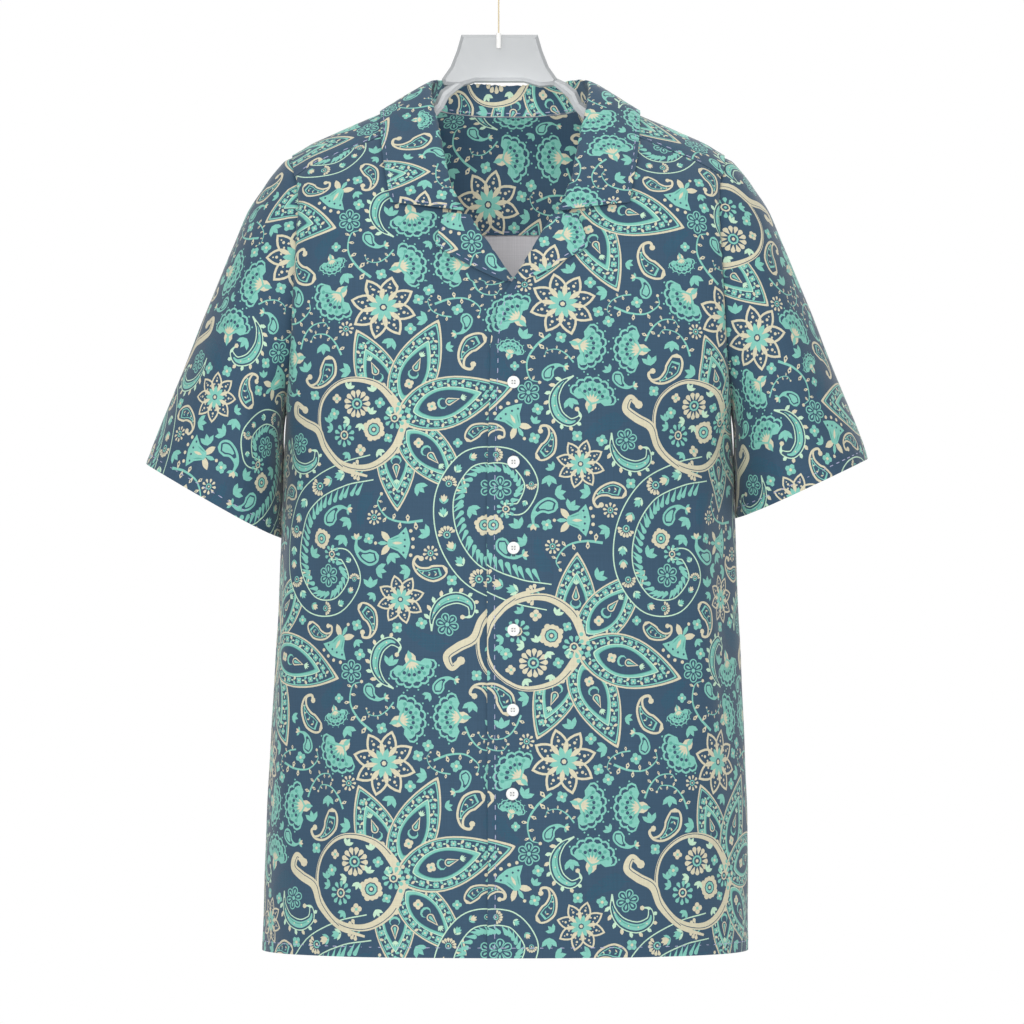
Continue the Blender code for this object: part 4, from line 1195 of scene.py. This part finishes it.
def big_petal(length, width):
    """A long ogive petal: cream rim, a border of little flowers, a mint ring and a heart."""
    middle = 0.44 * length

    def ogive(scale, points=22):
        s = (1 - np.cos(np.linspace(0, math.pi, points + 2)[1:-1])) / 2
        half = width / 2 * np.sin(math.pi * s ** 0.82) ** 0.85
        upper = np.stack([s * length, half], 1)
        shape = np.concatenate([[(0, 0)], upper, [(length, 0)], (upper * [1, -1])[::-1]])
        return (shape - [middle, 0]) * scale + [middle, 0]

    made = [(ogive(1.0), CREAM), (ogive(0.94), GROUND), (ogive(0.92), MINT), (ogive(0.88), GROUND)]
    border = ogive(0.735, 60)
    step = run_length(border)
    count = int(step[-1] / 6.4)
    for k in range(count):
        at = step[-1] * (k + 0.5) / count
        spot, ahead = (np.array([np.interp(at + off, step, border[:, axis]) for axis in (0, 1)])
                       for off in (0, 0.5))
        heading = heading_of(ahead - spot)
        if k % 2:
            made += [(leaf(*spot, heading + 60, 4.6, 2.6), CREAM if k % 4 == 1 else MINT),
                     (leaf(*spot, heading - 60, 4.6, 2.6), CREAM if k % 4 == 3 else MINT),
                     (leaf(*spot, heading + 180, 3.4, 1.8), PALE)]
        else:
            made += moved(little_flower(size=3.2), *spot, heading)
    made += [(ogive(0.61), PALE), (ogive(0.585), MINT), (ogive(0.51), SHADE), (ogive(0.485), GROUND)]
    heart = middle - 0.10 * length
    made += moved(spun([(petal(0, 0, 0, 4.6, 4.6), CREAM)], 4, 45) + dots((1.3, MINT)), heart, 0)
    made += [(oval(heart + 9.5, 0, 4.4, 5.2), MINT), (oval(heart + 10.6, 0, 3.4, 4.0), GROUND),
             (petal(heart + 26, 0, 180, 13.5, 7.2, 8), CREAM),
             (petal(heart + 24, 0, 180, 10.5, 4.8, 8), GROUND),
             (petal(heart + 22.5, 0, 180, 8.0, 2.6, 6), MINT)]
    for k in range(-2, 3):
        made.append((leaf(heart + 26.5, 0, 22 * k, 6.0 - 0.7 * abs(k), 1.3), PALE))
    return made


def fern():
    """A faint dark-teal frond."""
    line = curve_through(((0, 0), (4, 20.3), (1, 40.6), (-8, 58)), 24)
    made = [(ribbon(line, 0.45), DEEP)]
    ways, _ = sides_of(line)
    for k in range(9):
        i = 2 + int(20 * k / 9)
        reach = 17 - 1.2 * k
        for off in (-38, 38):
            for less, width, tint in ((0, 4.6, DEEP), (1.2, 3.2, GROUND), (3, 0.9, DEEP)):
                made.append((leaf(*line[i], heading_of(ways[i]) + off, reach - less, width), tint))
    return made


def bud_spray():
    """A bending stem with round buds that grow smaller to its tip."""
    line = curve_through(((0, 0), (6, 16.2), (6, 33.48), (-4, 46.44), (-14, 45.36)), 30)
    made = [(ribbon(line, np.linspace(1.3, 0.35, 30)), MINT)]
    _, out = sides_of(line)
    for k in range(8):
        i = 3 + int(25 * k / 8)
        size = 2.5 - 0.17 * k
        spot = line[i] + out[i] * (1 if k % 2 else -1) * (size + 2.2)
        made.append((leaf(*line[i], heading_of(spot - line[i]), size * 2.6 + 1.6, size * 1.7, 0.7),
                     CREAM))
        made += dots((size * 0.42, GROUND), x=spot[0], y=spot[1])
    return made + dots((1.7, CREAM), x=line[-1][0], y=line[-1][1])


def acanthus():
    """A scrolled leaf with toothed back and cream beads."""
    line = curve_through(((0, 0), (6, 12), (5, 26), (-5, 37), (-18, 38), (-23, 29), (-17, 24)), 40)
    half = 0.7 + 4.6 * np.sin(math.pi * np.clip(np.linspace(0, 1, 40) * 1.08, 0, 1)) ** 1.2
    _, out = sides_of(line)
    made = []
    for k in range(9):
        i = 5 + 3 * k
        foot = line[i] - out[i] * (half[i] - 1.0)
        made.append((leaf(*foot, heading_of(-out[i]) + 32, 7.5 - 0.35 * k, 3.6),
                     CREAM if k % 2 else PALE))
    made += [(ribbon(line, half), PALE), (ribbon(line[3:33], half[3:33] - 1.0), GROUND),
             (ribbon(line[5:30], np.maximum(half[5:30] - 2.5, 0.3)), MINT),
             (ribbon(line[9:24] + out[9:24] * 0.9, 0.45), SHADE)]
    for k in range(5):
        made += dots((0.8, CREAM), x=line[8 + 4 * k][0], y=line[8 + 4 * k][1])
    return made + dots((2.2, CREAM), x=-17.5, y=24.6)


def leafy_band(points, start, end):
    """A band between two thin lines, filled with tulips and daisies and combed with leaflets."""
    count = 90
    line = curve_through(points, count)
    ways, out = sides_of(line)
    half = np.linspace(start, end, count)
    outer, inner = line + out * half[:, None], line - out * half[:, None]
    made = [(ribbon(line, half), GROUND), (ribbon(outer, 0.55), PALE), (ribbon(inner, 0.55), PALE)]
    length = run_length(line)
    fillings = (daisy(7, 9.5, CREAM, MINT, 150, 15), tulip(MINT, PALE), tulip(CREAM, MINT))
    for k in range(int(length[-1] / 15.5)):
        i = int(np.searchsorted(length, 15.5 * (k + 0.6)))
        made += moved(fillings[k % 3], *line[i], heading_of(ways[i]) - 90, max(half[i] / 10.5, 0.45))
    for spot in (outer[-1], inner[-1]):
        made += dots((1.6, PALE), x=spot[0], y=spot[1])
    made += moved(daisy(9, 8.5, MINT, CREAM), *line[-1])
    for k in range(int(length[-1] / 7.2) - 2):
        i = min(int(np.searchsorted(length, 7.2 * (k + 1))), count - 1)
        made.append((petal(*outer[i], heading_of(out[i]) - 38, half[i] + 3, 4.2, 5), MINT))
    return made


def scroll(points, widths):
    """A thick curling stem with a fine line along it."""
    line = curve_through(points, 70)
    half = np.interp(np.linspace(0, 1, 70), np.linspace(0, 1, len(widths)), widths)
    vein = line[6:60] + sides_of(line)[1][6:60] * half[6:60, None] * 0.45
    return ([(ribbon(line, half), CREAM)] + dots((half[0] * 1.5, CREAM), x=line[0][0], y=line[0][1])
            + [(ribbon(vein, 0.35), GROUND)])


def sprig(x=0, y=0, angle=0, tint=MINT):
    return [(leaf(x, y, angle + off, 7.5, 3.2), tint) for off in (-40, 0, 40)]


BAND = ((-22, -44), (-52, -50), (-84, -66), (-104, -98), (-106, -136), (-86, -166), (-56, -168),
        (-38, -146), (-46, -124), (-60, -122))
STEM = ((9, -6), (-2, -30), (-26, -44), (-56, -38), (-76, -12), (-72, 18), (-48, 36), (-18, 32),
        (0, 14), (4, 0))
HOOK = ((-92, 12), (-100, 18), (-104, 8), (-94, 0), (-80, -8), (-72, -26), (-52, -44), (-26, -52))
POSY = (                    # flower and its sizes and colours, x, y, in the loop of the stem
    (daisy, (13, 13, CREAM, MINT), -36, 14),
    (square_flower, (), -20, -10),
    (daisy, (10, 11, MINT, CREAM), -50, -14),
    (little_flower, (CREAM, MINT, 5.4), -34, -28),
    (little_flower, (MINT, CREAM, 5.4), -60, 6),
    (little_flower, (MINT, CREAM, 5.0), -14, 14),
    (little_flower, (CREAM, MINT, 4.6), -56, 20),
    (little_flower, (MINT, CREAM, 4.6), -6, -18),
)
LEAFLETS = ((-44, 0, 200), (-24, 4, 60), (-8, 4, 20), (-32, -4, 250), (-62, -8, 160),
            (-20, 24, 100), (-46, -30, 230), (-16, -28, 300), (-66, -2, 90), (-44, 28, 60))
FAN = ((112, 88, 40), (-88, 84, 38), (66, 98, 43), (-46, 94, 41), (16, 104, 47))


def bouquet():
    """The big group: a fan of petals, the curling stem round a posy, and a leafy band."""
    made = []
    for angle, length, width in FAN:
        made += moved(big_petal(length, width), 0, 0, angle)
    made.append((oval(-35, -4, 42, 39), GROUND))
    made += leafy_band(BAND, 11.5, 4.5)
    for motif, settings, x, y in POSY:
        made += moved(motif(*settings), x, y, 17 * x)
    for x, y, angle in LEAFLETS:
        made += sprig(x, y, angle, MINT if x % 4 else PALE)
    made += scroll(STEM, (3.0, 4.0, 3.2, 2.2, 1.7, 1.6, 2.0, 3.0, 4.2, 3.0))
    made += scroll(HOOK, (2.6, 3.0, 3.8, 4.2, 4.2, 3.4, 2.2, 1.0))
    for k in range(7):
        x, y = reach_to(13, -60 + 22 * k)
        made += dots((2.0, CREAM if k % 2 else MINT), x=x, y=y)
    return made + moved(daisy(10, 10.5, MINT, CREAM), 0, 0)


FILLERS = (                 # motif, then x, y, angle, scale and 1 where mirrored, of each copy
    (star_flower, ((143, 103, 195, 1.0, 0),)),
    (carnation, ((7, 139, 285, 1.15, 0), (58, 142, 270, 1.15, 1), (16, 190, 195, 1.15, 0),
                 (103, 90, 45, 1.15, 0))),
    (acanthus, ((152, 37, 150, 1.0, 0), (34, 218, 150, 1.0, 1))),
    (bud_spray, ((132, 75, 150, 0.95, 0), (178, 296, 105, 0.95, 0), (36, 104, 90, 0.85, 1))),
    (star_flower, ((6, 246, 60, 0.75, 1),)),
    (bell, ((101, 401, 210, 1.15, 0), (-3, 296, 90, 1.15, 0))),
    (paisley, ((82, 73, 120, 1.0, 0), (118, 371, 315, 0.9, 0), (93, 143, 15, 1.0, 0),
               (48, 274, 285, 0.9, 1))),
    (comma, ((138, 327, 90, 1.0, 0), (89, 301, 195, 0.9, 0))),
    (fern, ((83, 59, 210, 0.6, 0), (50, 207, 255, 0.75, 1), (133, 269, 210, 0.6, 1))),
    (bud_spray, ((64, 134, 225, 0.7, 0), (51, 92, 240, 0.55, 1), (152, 49, 60, 0.55, 0),
                 (105, 144, 315, 0.7, 1))),
    (paisley, ((65, 386, 135, 0.8, 1),)),
    (carnation, ((96, 58, 165, 0.65, 1),)),
    (ring_flower, ((87, 345, 300, 1.0, 0), (48, 224, 255, 1.0, 0), (112, 22, 240, 1.0, 1))),
    (comma, ((129, 32, 165, 0.75, 1), (61, 95, 15, 0.75, 1), (40, 162, 165, 0.75, 1))),
    (square_flower, ((81, 312, 210, 0.85, 0),)),
    (daisy, ((133, 293, 90, 1.0, 1), (110, 121, 240, 1.0, 0), (33, 287, 30, 1.0, 1))),
    (little_flower, ((56, 99, 300, 1.6, 1), (128, 312, 195, 1.6, 1), (120, 7, 330, 1.6, 0),
                     (52, 263, 90, 1.6, 1), (100, 46, 45, 1.3, 0), (25, 225, 150, 1.6, 1),
                     (74, 179, 270, 1.6, 1), (22, 108, 75, 1.6, 0), (31, 117, 30, 1.6, 1),
                     (57, 385, 135, 1.3, 0), (141, 72, 75, 1.6, 0), (3, 221, 180, 1.6, 0),
                     (15, 81, 315, 1.6, 1), (117, 389, 255, 1.6, 0))),
    (sprig, ((30, 89, 165, 1.4, 1), (88, 132, 90, 1.4, 0), (148, 325, 60, 1.4, 0),
             (130, 356, 270, 1.4, 0), (32, 303, 150, 1.4, 1), (148, 17, 285, 1.4, 0),
             (20, 348, 315, 1.4, 1), (151, 132, 120, 1.4, 1), (112, 160, 195, 1.4, 1),
             (70, 156, 255, 1.4, 1), (104, 309, 120, 1.4, 1), (135, 339, 15, 1.4, 0),
             (33, 163, 225, 1.0, 1), (107, 71, 60, 1.4, 0), (134, 361, 135, 1.0, 0),
             (15, 272, 195, 1.4, 0), (116, 402, 60, 1.0, 1), (109, 294, 135, 1.4, 0),
             (46, 63, 15, 1.0, 0), (67, 328, 315, 1.4, 1))),
)
PRINT_SHIFTS = {            # where the print starts on each pattern
    "front_right": (-0.102, 0.478),
    "front_left": (-0.094, 0.478),
    "back": (-0.020, 0.430),
    "yoke": (0.060, 0.380),
    "inner_yoke": (-0.010, 0.520),
    "sleeve_right": (0.055, 0.130),
    "sleeve_left": (-0.030, 0.040),
    "collar": (0.020, 0.700),
    "lapel_right": (0.0, 0.45),
    "lapel_left": (0.05, 0.50),
}


def repeat_unit():
    made = []
    for motif, copies in FILLERS:
        for x, y, angle, scale, mirror in copies:
            made += moved(motif(), x, y, angle, scale, mirror)
    return made + bouquet()


def allover(low, high):
    """The print over a stretch of pattern, low and high corners in metres."""
    upright = repeat_unit()
    inverted = [(outline * [1, -1], tint) for outline, tint in upright]
    made = []
    low, high = np.asarray(low) * 1000, np.asarray(high) * 1000
    for i in range(int((low[0] - REACH) // COLUMN) - 1, int((high[0] + REACH) // COLUMN) + 1):
        drop = REPEAT / 2 * (i % 2)
        for j in range(int((low[1] - drop) // REPEAT) - 1, int((high[1] - drop) // REPEAT) + 2):
            shift = np.array([i * COLUMN, j * REPEAT + drop])
            for outline, tint in (inverted if i % 2 else upright):
                spot = outline + shift
                if (spot.max(0) > low).all() and (spot.min(0) < high).all():
                    made.append((spot / 1000, tint))
    return made


class Print:
    """One repeat of the print: the lines between its colours, and the colour at any place."""

    def __init__(self, margin=0.02, ease=0.00007):
        self.size = np.array([2 * COLUMN, REPEAT]) / 1000
        low, high = np.zeros(2) - margin, self.size + margin
        verts = [tuple(low), (high[0], low[1]), tuple(high), (low[0], high[1])]
        faces, tints = [[0, 1, 2, 3]], [GROUND]
        for outline, tint in allover(low, high):
            faces.append(list(range(len(verts), len(verts) + len(outline))))
            verts += [tuple(p) for p in outline]
            tints.append(tint)
        self.flat, triangles, _, owners = triangulate(verts, faces)
        inside = [k for k, own in enumerate(owners) if 0 in own]
        self.tints = np.array([tints[max(owners[k])] for k in inside])
        triangles = np.array([triangles[k] for k in inside])
        self.tree = BVHTree.FromPolygons([(x, y, 0) for x, y in self.flat], triangles.tolist())
        self.lines = self.simpler(self.lines_between(triangles), ease)
        middle = self.flat[self.lines].mean(1)
        self.lines = self.lines[((middle >= 0) & (middle < self.size)).all(1)]

    def lines_between(self, triangles):
        """Edges whose two triangles differ in colour."""
        sides = np.sort(triangles[:, [0, 1, 1, 2, 2, 0]].reshape(-1, 2), axis=1)
        tints = np.repeat(self.tints, 3)
        order = np.lexsort(sides.T)
        sides, tints = sides[order], tints[order]
        paired = (sides[1:] == sides[:-1]).all(1) & (tints[1:] != tints[:-1])
        return sides[1:][paired]

    def simpler(self, lines, ease, sweeps=4):
        """The same lines without the points that lie within ease of a straight run."""
        near = {}
        for a, b in lines.tolist():
            near.setdefault(a, set()).add(b)
            near.setdefault(b, set()).add(a)
        for _ in range(sweeps):
            skipped = set()
            for k in list(near):
                if len(near[k]) != 2 or k in skipped:
                    continue
                a, b = near[k]
                run = self.flat[b] - self.flat[a]
                off = self.flat[k] - self.flat[a]
                height = abs(run[0] * off[1] - run[1] * off[0])
                if b in near[a] or height > ease * math.hypot(*run):
                    continue
                near[a] = near[a] - {k} | {b}
                near[b] = near[b] - {k} | {a}
                del near[k]
                skipped |= {a, b}
        return np.array([(a, b) for a in near for b in near[a] if a < b])

    def cuts(self, low, high):
        """The lines over a stretch of pattern: their points, and the two ends of each."""
        first = np.floor(low / self.size).astype(int)
        last = np.floor(high / self.size).astype(int)
        pairs = []
        for i in range(first[0], last[0] + 1):
            for j in range(first[1], last[1] + 1):
                ends = self.flat[self.lines] + self.size * (i, j)
                kept = ((ends.max(1) > low) & (ends.min(1) < high)).all(1)
                pairs.append(ends[kept])
        pairs = np.concatenate(pairs)
        return pairs.reshape(-1, 2), np.arange(2 * len(pairs)).reshape(-1, 2)

    def tints_at(self, places):
        inside = places - np.floor(places / self.size) * self.size
        return [int(self.tints[self.tree.find_nearest(Vector((x, y, 0)))[2]]) for x, y in inside]


# ---------------------------------------------------------------- materials
def colour(red, green, blue):
    """Linear colour from the usual screen values."""
    part = [c / 255 for c in (red, green, blue)]
    return tuple(c / 12.92 if c < 0.04045 else ((c + 0.055) / 1.055) ** 2.4 for c in part) + (1.0,)


PRINT_COLOURS = {
    "print_ground": colour(50, 77, 99),
    "print_mint": colour(122, 188, 174),
    "print_cream": colour(204, 198, 172),
    "print_pale": colour(184, 216, 190),
    "print_deep": colour(34, 82, 104),
    "print_shade": colour(88, 158, 146),
    "cloth_reverse": colour(204, 202, 205),
}


def new_material(name, base, roughness):
    made = bpy.data.materials.new(name)
    made.use_nodes = True
    shader = made.node_tree.nodes["Principled BSDF"]
    shader.inputs["Base Color"].default_value = base
    shader.inputs["Roughness"].default_value = roughness
    return made, made.node_tree, shader


def add_node(tree, kind, inputs=None, **settings):
    node = tree.nodes.new(kind)
    for key, value in settings.items():
        setattr(node, key, value)
    for key, value in (inputs or {}).items():
        if isinstance(value, bpy.types.NodeSocket):
            tree.links.new(value, node.inputs[key])
        else:
            node.inputs[key].default_value = value
    return node


def add_bump(tree, shader, height, strength, distance=0.0002):
    bump = add_node(tree, "ShaderNodeBump",
                    {"Height": height, "Strength": strength, "Distance": distance})
    tree.links.new(bump.outputs["Normal"], shader.inputs["Normal"])


THREAD = 0.00045            # spacing of the woven threads


def cloth_material(name, base):
    """Plain-woven cloth: warp and weft ridges, uneven threads and a soft sheen."""
    made, tree, shader = new_material(name, base, 0.72)
    shader.inputs["Sheen Weight"].default_value = 0.18
    shader.inputs["Sheen Roughness"].default_value = 0.45
    shader.inputs["Specular IOR Level"].default_value = 0.30
    place = add_node(tree, "ShaderNodeUVMap", uv_map="pattern").outputs["UV"]
    scale = 2 * math.pi / 20 / THREAD
    warp, weft = (add_node(tree, "ShaderNodeTexWave", {"Vector": place, "Scale": scale},
                           bands_direction=way).outputs["Fac"] for way in "XY")
    weave = add_node(tree, "ShaderNodeMath", {0: warp, 1: weft}, operation="MULTIPLY")
    tones = []
    for size in ((1 / 0.0011, 1 / 0.045, 1), (1 / 0.045, 1 / 0.0011, 1)):
        stretched = add_node(tree, "ShaderNodeMapping", {"Vector": place, "Scale": size})
        tones.append(add_node(tree, "ShaderNodeTexNoise",
                              {"Vector": stretched.outputs["Vector"], "Scale": 1.0, "Detail": 2.0}
                              ).outputs["Fac"])
    slub = add_node(tree, "ShaderNodeMath", {0: tones[0], 1: tones[1]}, operation="ADD")
    tone = add_node(tree, "ShaderNodeMapRange",
                    {"Value": slub.outputs[0], "From Min": 0.6, "From Max": 1.4,
                     "To Min": 0.90, "To Max": 1.10})
    tinted = add_node(tree, "ShaderNodeMix", {"Factor": 1.0, "A": base, "B": tone.outputs[0]},
                      data_type="RGBA", blend_type="MULTIPLY")
    tree.links.new(tinted.outputs["Result"], shader.inputs["Base Color"])
    height = add_node(tree, "ShaderNodeMath", {0: weave.outputs[0], 1: slub.outputs[0]},
                      operation="ADD")
    add_bump(tree, shader, height.outputs[0], 0.20)
    return made


def plastic_material(name, base, roughness, grain):
    made, tree, shader = new_material(name, base, roughness)
    noise = add_node(tree, "ShaderNodeTexNoise", {"Scale": grain, "Detail": 4.0})
    place = add_node(tree, "ShaderNodeTexCoord").outputs["Object"]
    tree.links.new(place, noise.inputs["Vector"])
    rough = add_node(tree, "ShaderNodeMapRange",
                     {"Value": noise.outputs["Fac"], "To Min": roughness - 0.06,
                      "To Max": roughness + 0.08})
    tree.links.new(rough.outputs[0], shader.inputs["Roughness"])
    add_bump(tree, shader, noise.outputs["Fac"], 0.06, 0.0003)
    return made


def thread_material(name, base):
    """Plied thread: fine slanting ridges, a little lighter on their tops, with painted shade in the
    grooves between them.
    """
    made, tree, shader = new_material(name, base, 0.6)
    shader.inputs["Sheen Weight"].default_value = 0.25
    place = add_node(tree, "ShaderNodeTexCoord").outputs["Object"]
    plies = add_node(tree, "ShaderNodeTexWave", {"Vector": place, "Scale": 380.0,
                                                 "Distortion": 1.5}, bands_direction="DIAGONAL")
    # painted shade: the colour falls to four fifths of the base in the grooves between plies,
    # following the same waves as the bump
    tinted = add_node(tree, "ShaderNodeMix", {"Factor": plies.outputs["Fac"],
                                              "A": tuple(c * 0.80 for c in base[:3]) + (1.0,),
                                              "B": base}, data_type="RGBA")
    tree.links.new(tinted.outputs["Result"], shader.inputs["Base Color"])
    add_bump(tree, shader, plies.outputs["Fac"], 0.4)
    return made


# ---------------------------------------------------------------- camera, light and floor
def add_camera():
    data = bpy.data.cameras.new("camera")
    data.sensor_width = 36.0
    data.lens = 36.0 * CAMERA_FAR / (PICTURE * PIXEL)
    camera = placed("camera", data)
    camera.location = (CAMERA_X, GARMENT_Y - CAMERA_FAR, CAMERA_Z)
    camera.rotation_euler = (math.radians(90), 0, 0)
    bpy.context.scene.camera = camera


MIDDLE = (0, 0, -0.45)
LAMPS = (                   # name, place, what it points at, size, power
    ("front", (-0.25, -2.6, 0.10), (0, 0, -0.30), 1.0, 30),
    ("neck", (GARMENT_X, -0.03, -0.140), (GARMENT_X, 0.08, -0.180), 0.05, 0.08),
    ("key", (-1.9, -1.8, 1.1), MIDDLE, 1.6, 8),
    ("fill", (2.0, -1.8, 0.2), MIDDLE, 2.0, 5),
    ("top", (0.2, 0.3, 1.8), MIDDLE, 1.4, 14),
    ("behind", (0.6, 2.4, 0.6), MIDDLE, 1.8, 22),
)


def add_lamp(name, place, aim, size, power):
    data = bpy.data.lights.new(name, "AREA")
    data.shape = "DISK"
    data.size = size
    data.energy = power
    lamp = placed(name, data)
    lamp.location = place
    lamp.rotation_euler = (Vector(aim) - Vector(place)).to_track_quat("-Z", "Y").to_euler()
    lamp.visible_camera = False


def add_stage():
    world = bpy.data.worlds.new("studio")
    world.use_nodes = True
    background = world.node_tree.nodes["Background"]
    background.inputs["Color"].default_value = (1, 1, 1, 1)
    seen = add_node(world.node_tree, "ShaderNodeLightPath").outputs["Is Camera Ray"]
    strength = add_node(world.node_tree, "ShaderNodeMapRange",
                        {"Value": seen, "To Min": 0.62, "To Max": 1.0})
    world.node_tree.links.new(strength.outputs[0], background.inputs["Strength"])
    bpy.context.scene.world = world
    bpy.context.scene.view_settings.view_transform = "Standard"
    work = bmesh.new()
    bmesh.ops.create_circle(work, cap_ends=True, segments=64, radius=FLOOR_RADIUS)
    mesh = bpy.data.meshes.new("floor")
    work.to_mesh(mesh)
    work.free()
    floor = placed("floor", mesh)
    floor.location = (0, 0, -FLOOR_DROP)
    finish, _, _ = new_material("floor_pale", (0.86, 0.86, 0.86, 1), 0.8)
    mesh.materials.append(finish)
    for lamp in LAMPS:
        add_lamp(*lamp)


# ---------------------------------------------------------------- building
def start_fronts(hand):
    def start(left, low, points):
        edge = points[:, :1, 0] * hand
        return np.stack([hand * (edge + left), low + points[:1, :, 2]], -1)
    return start


def start_middle(left, low, points):
    """Rows measured from their middle, columns from their low end."""
    middle = left[:, left.shape[1] // 2][:, None]
    return np.stack([left - middle, low + points[:1, :, 2]], -1)


YOKE_WIDER = 1.03           # how much larger the yoke's pattern starts than it looks from above
PATTERN_TOP = 0.78          # how high the ridge lies on the yoke's pattern


def start_yoke(left, low, points):
    """Both slopes of the yoke laid out from the ridge."""
    across, depth, height = points[..., 0], points[..., 1], points[..., 2]
    reach = np.hypot(depth, RIDGE_ROWS[0][1] - height)
    slopes = np.stack([across, -np.where(depth > 0, 1, -1) * reach], -1)
    return slopes * YOKE_WIDER + (0, PATTERN_TOP)


def start_sleeve(hand):
    def start(left, low, points):
        middle = left[:, left.shape[1] // 2][:, None]
        return np.stack([(left - middle) * hand, low[-1:] - low], -1)
    return start


def start_collar(left, low, points):
    """A band bent to the arc that makes its outer edge longer than its foot."""
    foot, edge = left[0, -1], left[-1, -1]
    width = low[-1].mean()
    radius = width * foot / (edge - foot)
    angle = (left / left[:, -1:] - 0.5) * edge / (radius + width)
    reach = radius + low
    return np.stack([reach * np.sin(angle), -reach * np.cos(angle) + radius + 0.75], -1)


def start_lapel(hand):
    def start(left, low, points):
        return np.stack([points[0:1, :, 0] + low * hand, points[..., 2]], -1)
    return start


def cloth_pieces():
    yield Cloth("front_right", front_surface(-1), -1, (40, 90), start_fronts(-1))
    yield Cloth("front_left", front_surface(1), 1, (40, 90), start_fronts(1))
    yield Cloth("back", back_surface, -1, (70, 80), start_middle)
    yield Cloth("yoke", yoke_surface(0.0), -1, (80, 24), start_yoke)
    yield Cloth("inner_yoke", yoke_surface(INNER_YOKE_INWARD), 1, (80, 24), start_yoke)
    yield Cloth("sleeve_right", sleeve_surface("sleeve_right"), -1, (70, 40), start_sleeve(-1),
                rounds=4000)
    yield Cloth("sleeve_left", sleeve_surface("sleeve_left"), 1, (70, 40), start_sleeve(1),
                rounds=4000)
    yield Cloth("collar", collar_surface, 1, (100, 24), start_collar, rounds=600)
    yield Cloth("lapel_right", lapel_surface(-1), -1, (30, 12), start_lapel(-1))
    yield Cloth("lapel_left", lapel_surface(1), 1, (30, 12), start_lapel(1))


def add_cord(finish):
    """Three twisted strands along the cord's route."""
    floor = TUBE_TOP - HANG_DROP - TUBE_DEPTH + CORD_FLOOR_GAP
    top = CORD_TOP - HANG_DROP
    steps, sides, strands = 70, 7, 3
    strand = CORD_RADIUS * 0.5
    verts, faces = [], []
    for s in range(strands):
        first = len(verts)
        for k in range(steps):
            z = floor + (top - floor) * k / (steps - 1)
            turn = 2 * math.pi * (z / CORD_TWIST + s / strands)
            for m in range(sides):
                a = 2 * math.pi * m / sides
                r = CORD_RADIUS - strand + strand * math.cos(a)
                verts.append((r * math.cos(turn), r * math.sin(turn), z + strand * math.sin(a)))
        for k in range(steps - 1):
            for m in range(sides):
                n = (m + 1) % sides
                a, b = first + k * sides, first + (k + 1) * sides
                faces.append((a + m, a + n, b + n, b + m))
        faces.append(tuple(first + m for m in reversed(range(sides))))
        faces.append(tuple(first + (steps - 1) * sides + m for m in range(sides)))
    made = new_piece("twisted_cord", verts, faces, finish)
    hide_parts("cord")


def main():
    add_camera()
    add_stage()
    cream = plastic_material("string", colour(226, 212, 180), 0.8, 900)
    grey = plastic_material("moulded_grey", colour(166, 169, 171), 0.36, 260)
    white = plastic_material("white_plastic", colour(238, 238, 236), 0.25, 200)
    sewing = thread_material("sewing_thread", colour(176, 178, 212))
    dark_thread = thread_material("buttonhole_thread", colour(56, 76, 104))
    white_thread = thread_material("button_thread", colour(226, 226, 224))
    add_cord(cream)
    for name, finish in (("knot", cream), ("hang_ring", grey), ("hanger", grey),
                         ("hanger_tube", white)):
        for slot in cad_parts[name].material_slots:
            slot.material = finish
    for button in BUTTONS:
        four_hole_button(button, white, white_thread)
    finishes = [cloth_material(name, base) for name, base in PRINT_COLOURS.items()]
    design = Print()
    for cloth in cloth_pieces():
        folded = cloth.name == "collar" or cloth.name.startswith("lapel")
        thickness, reverse = (COLLAR_SHELL, GROUND) if folded else (SHELL, REVERSE)
        shell(cloth, design, finishes, NET_GAP * (1.2 if cloth.name == "back" else 1), thickness,
              reverse)
        stitches(cloth, sewing)
        if cloth.name == "front_left":
            for button in BUTTONS:
                buttonhole(cloth, button, dark_thread)


main()
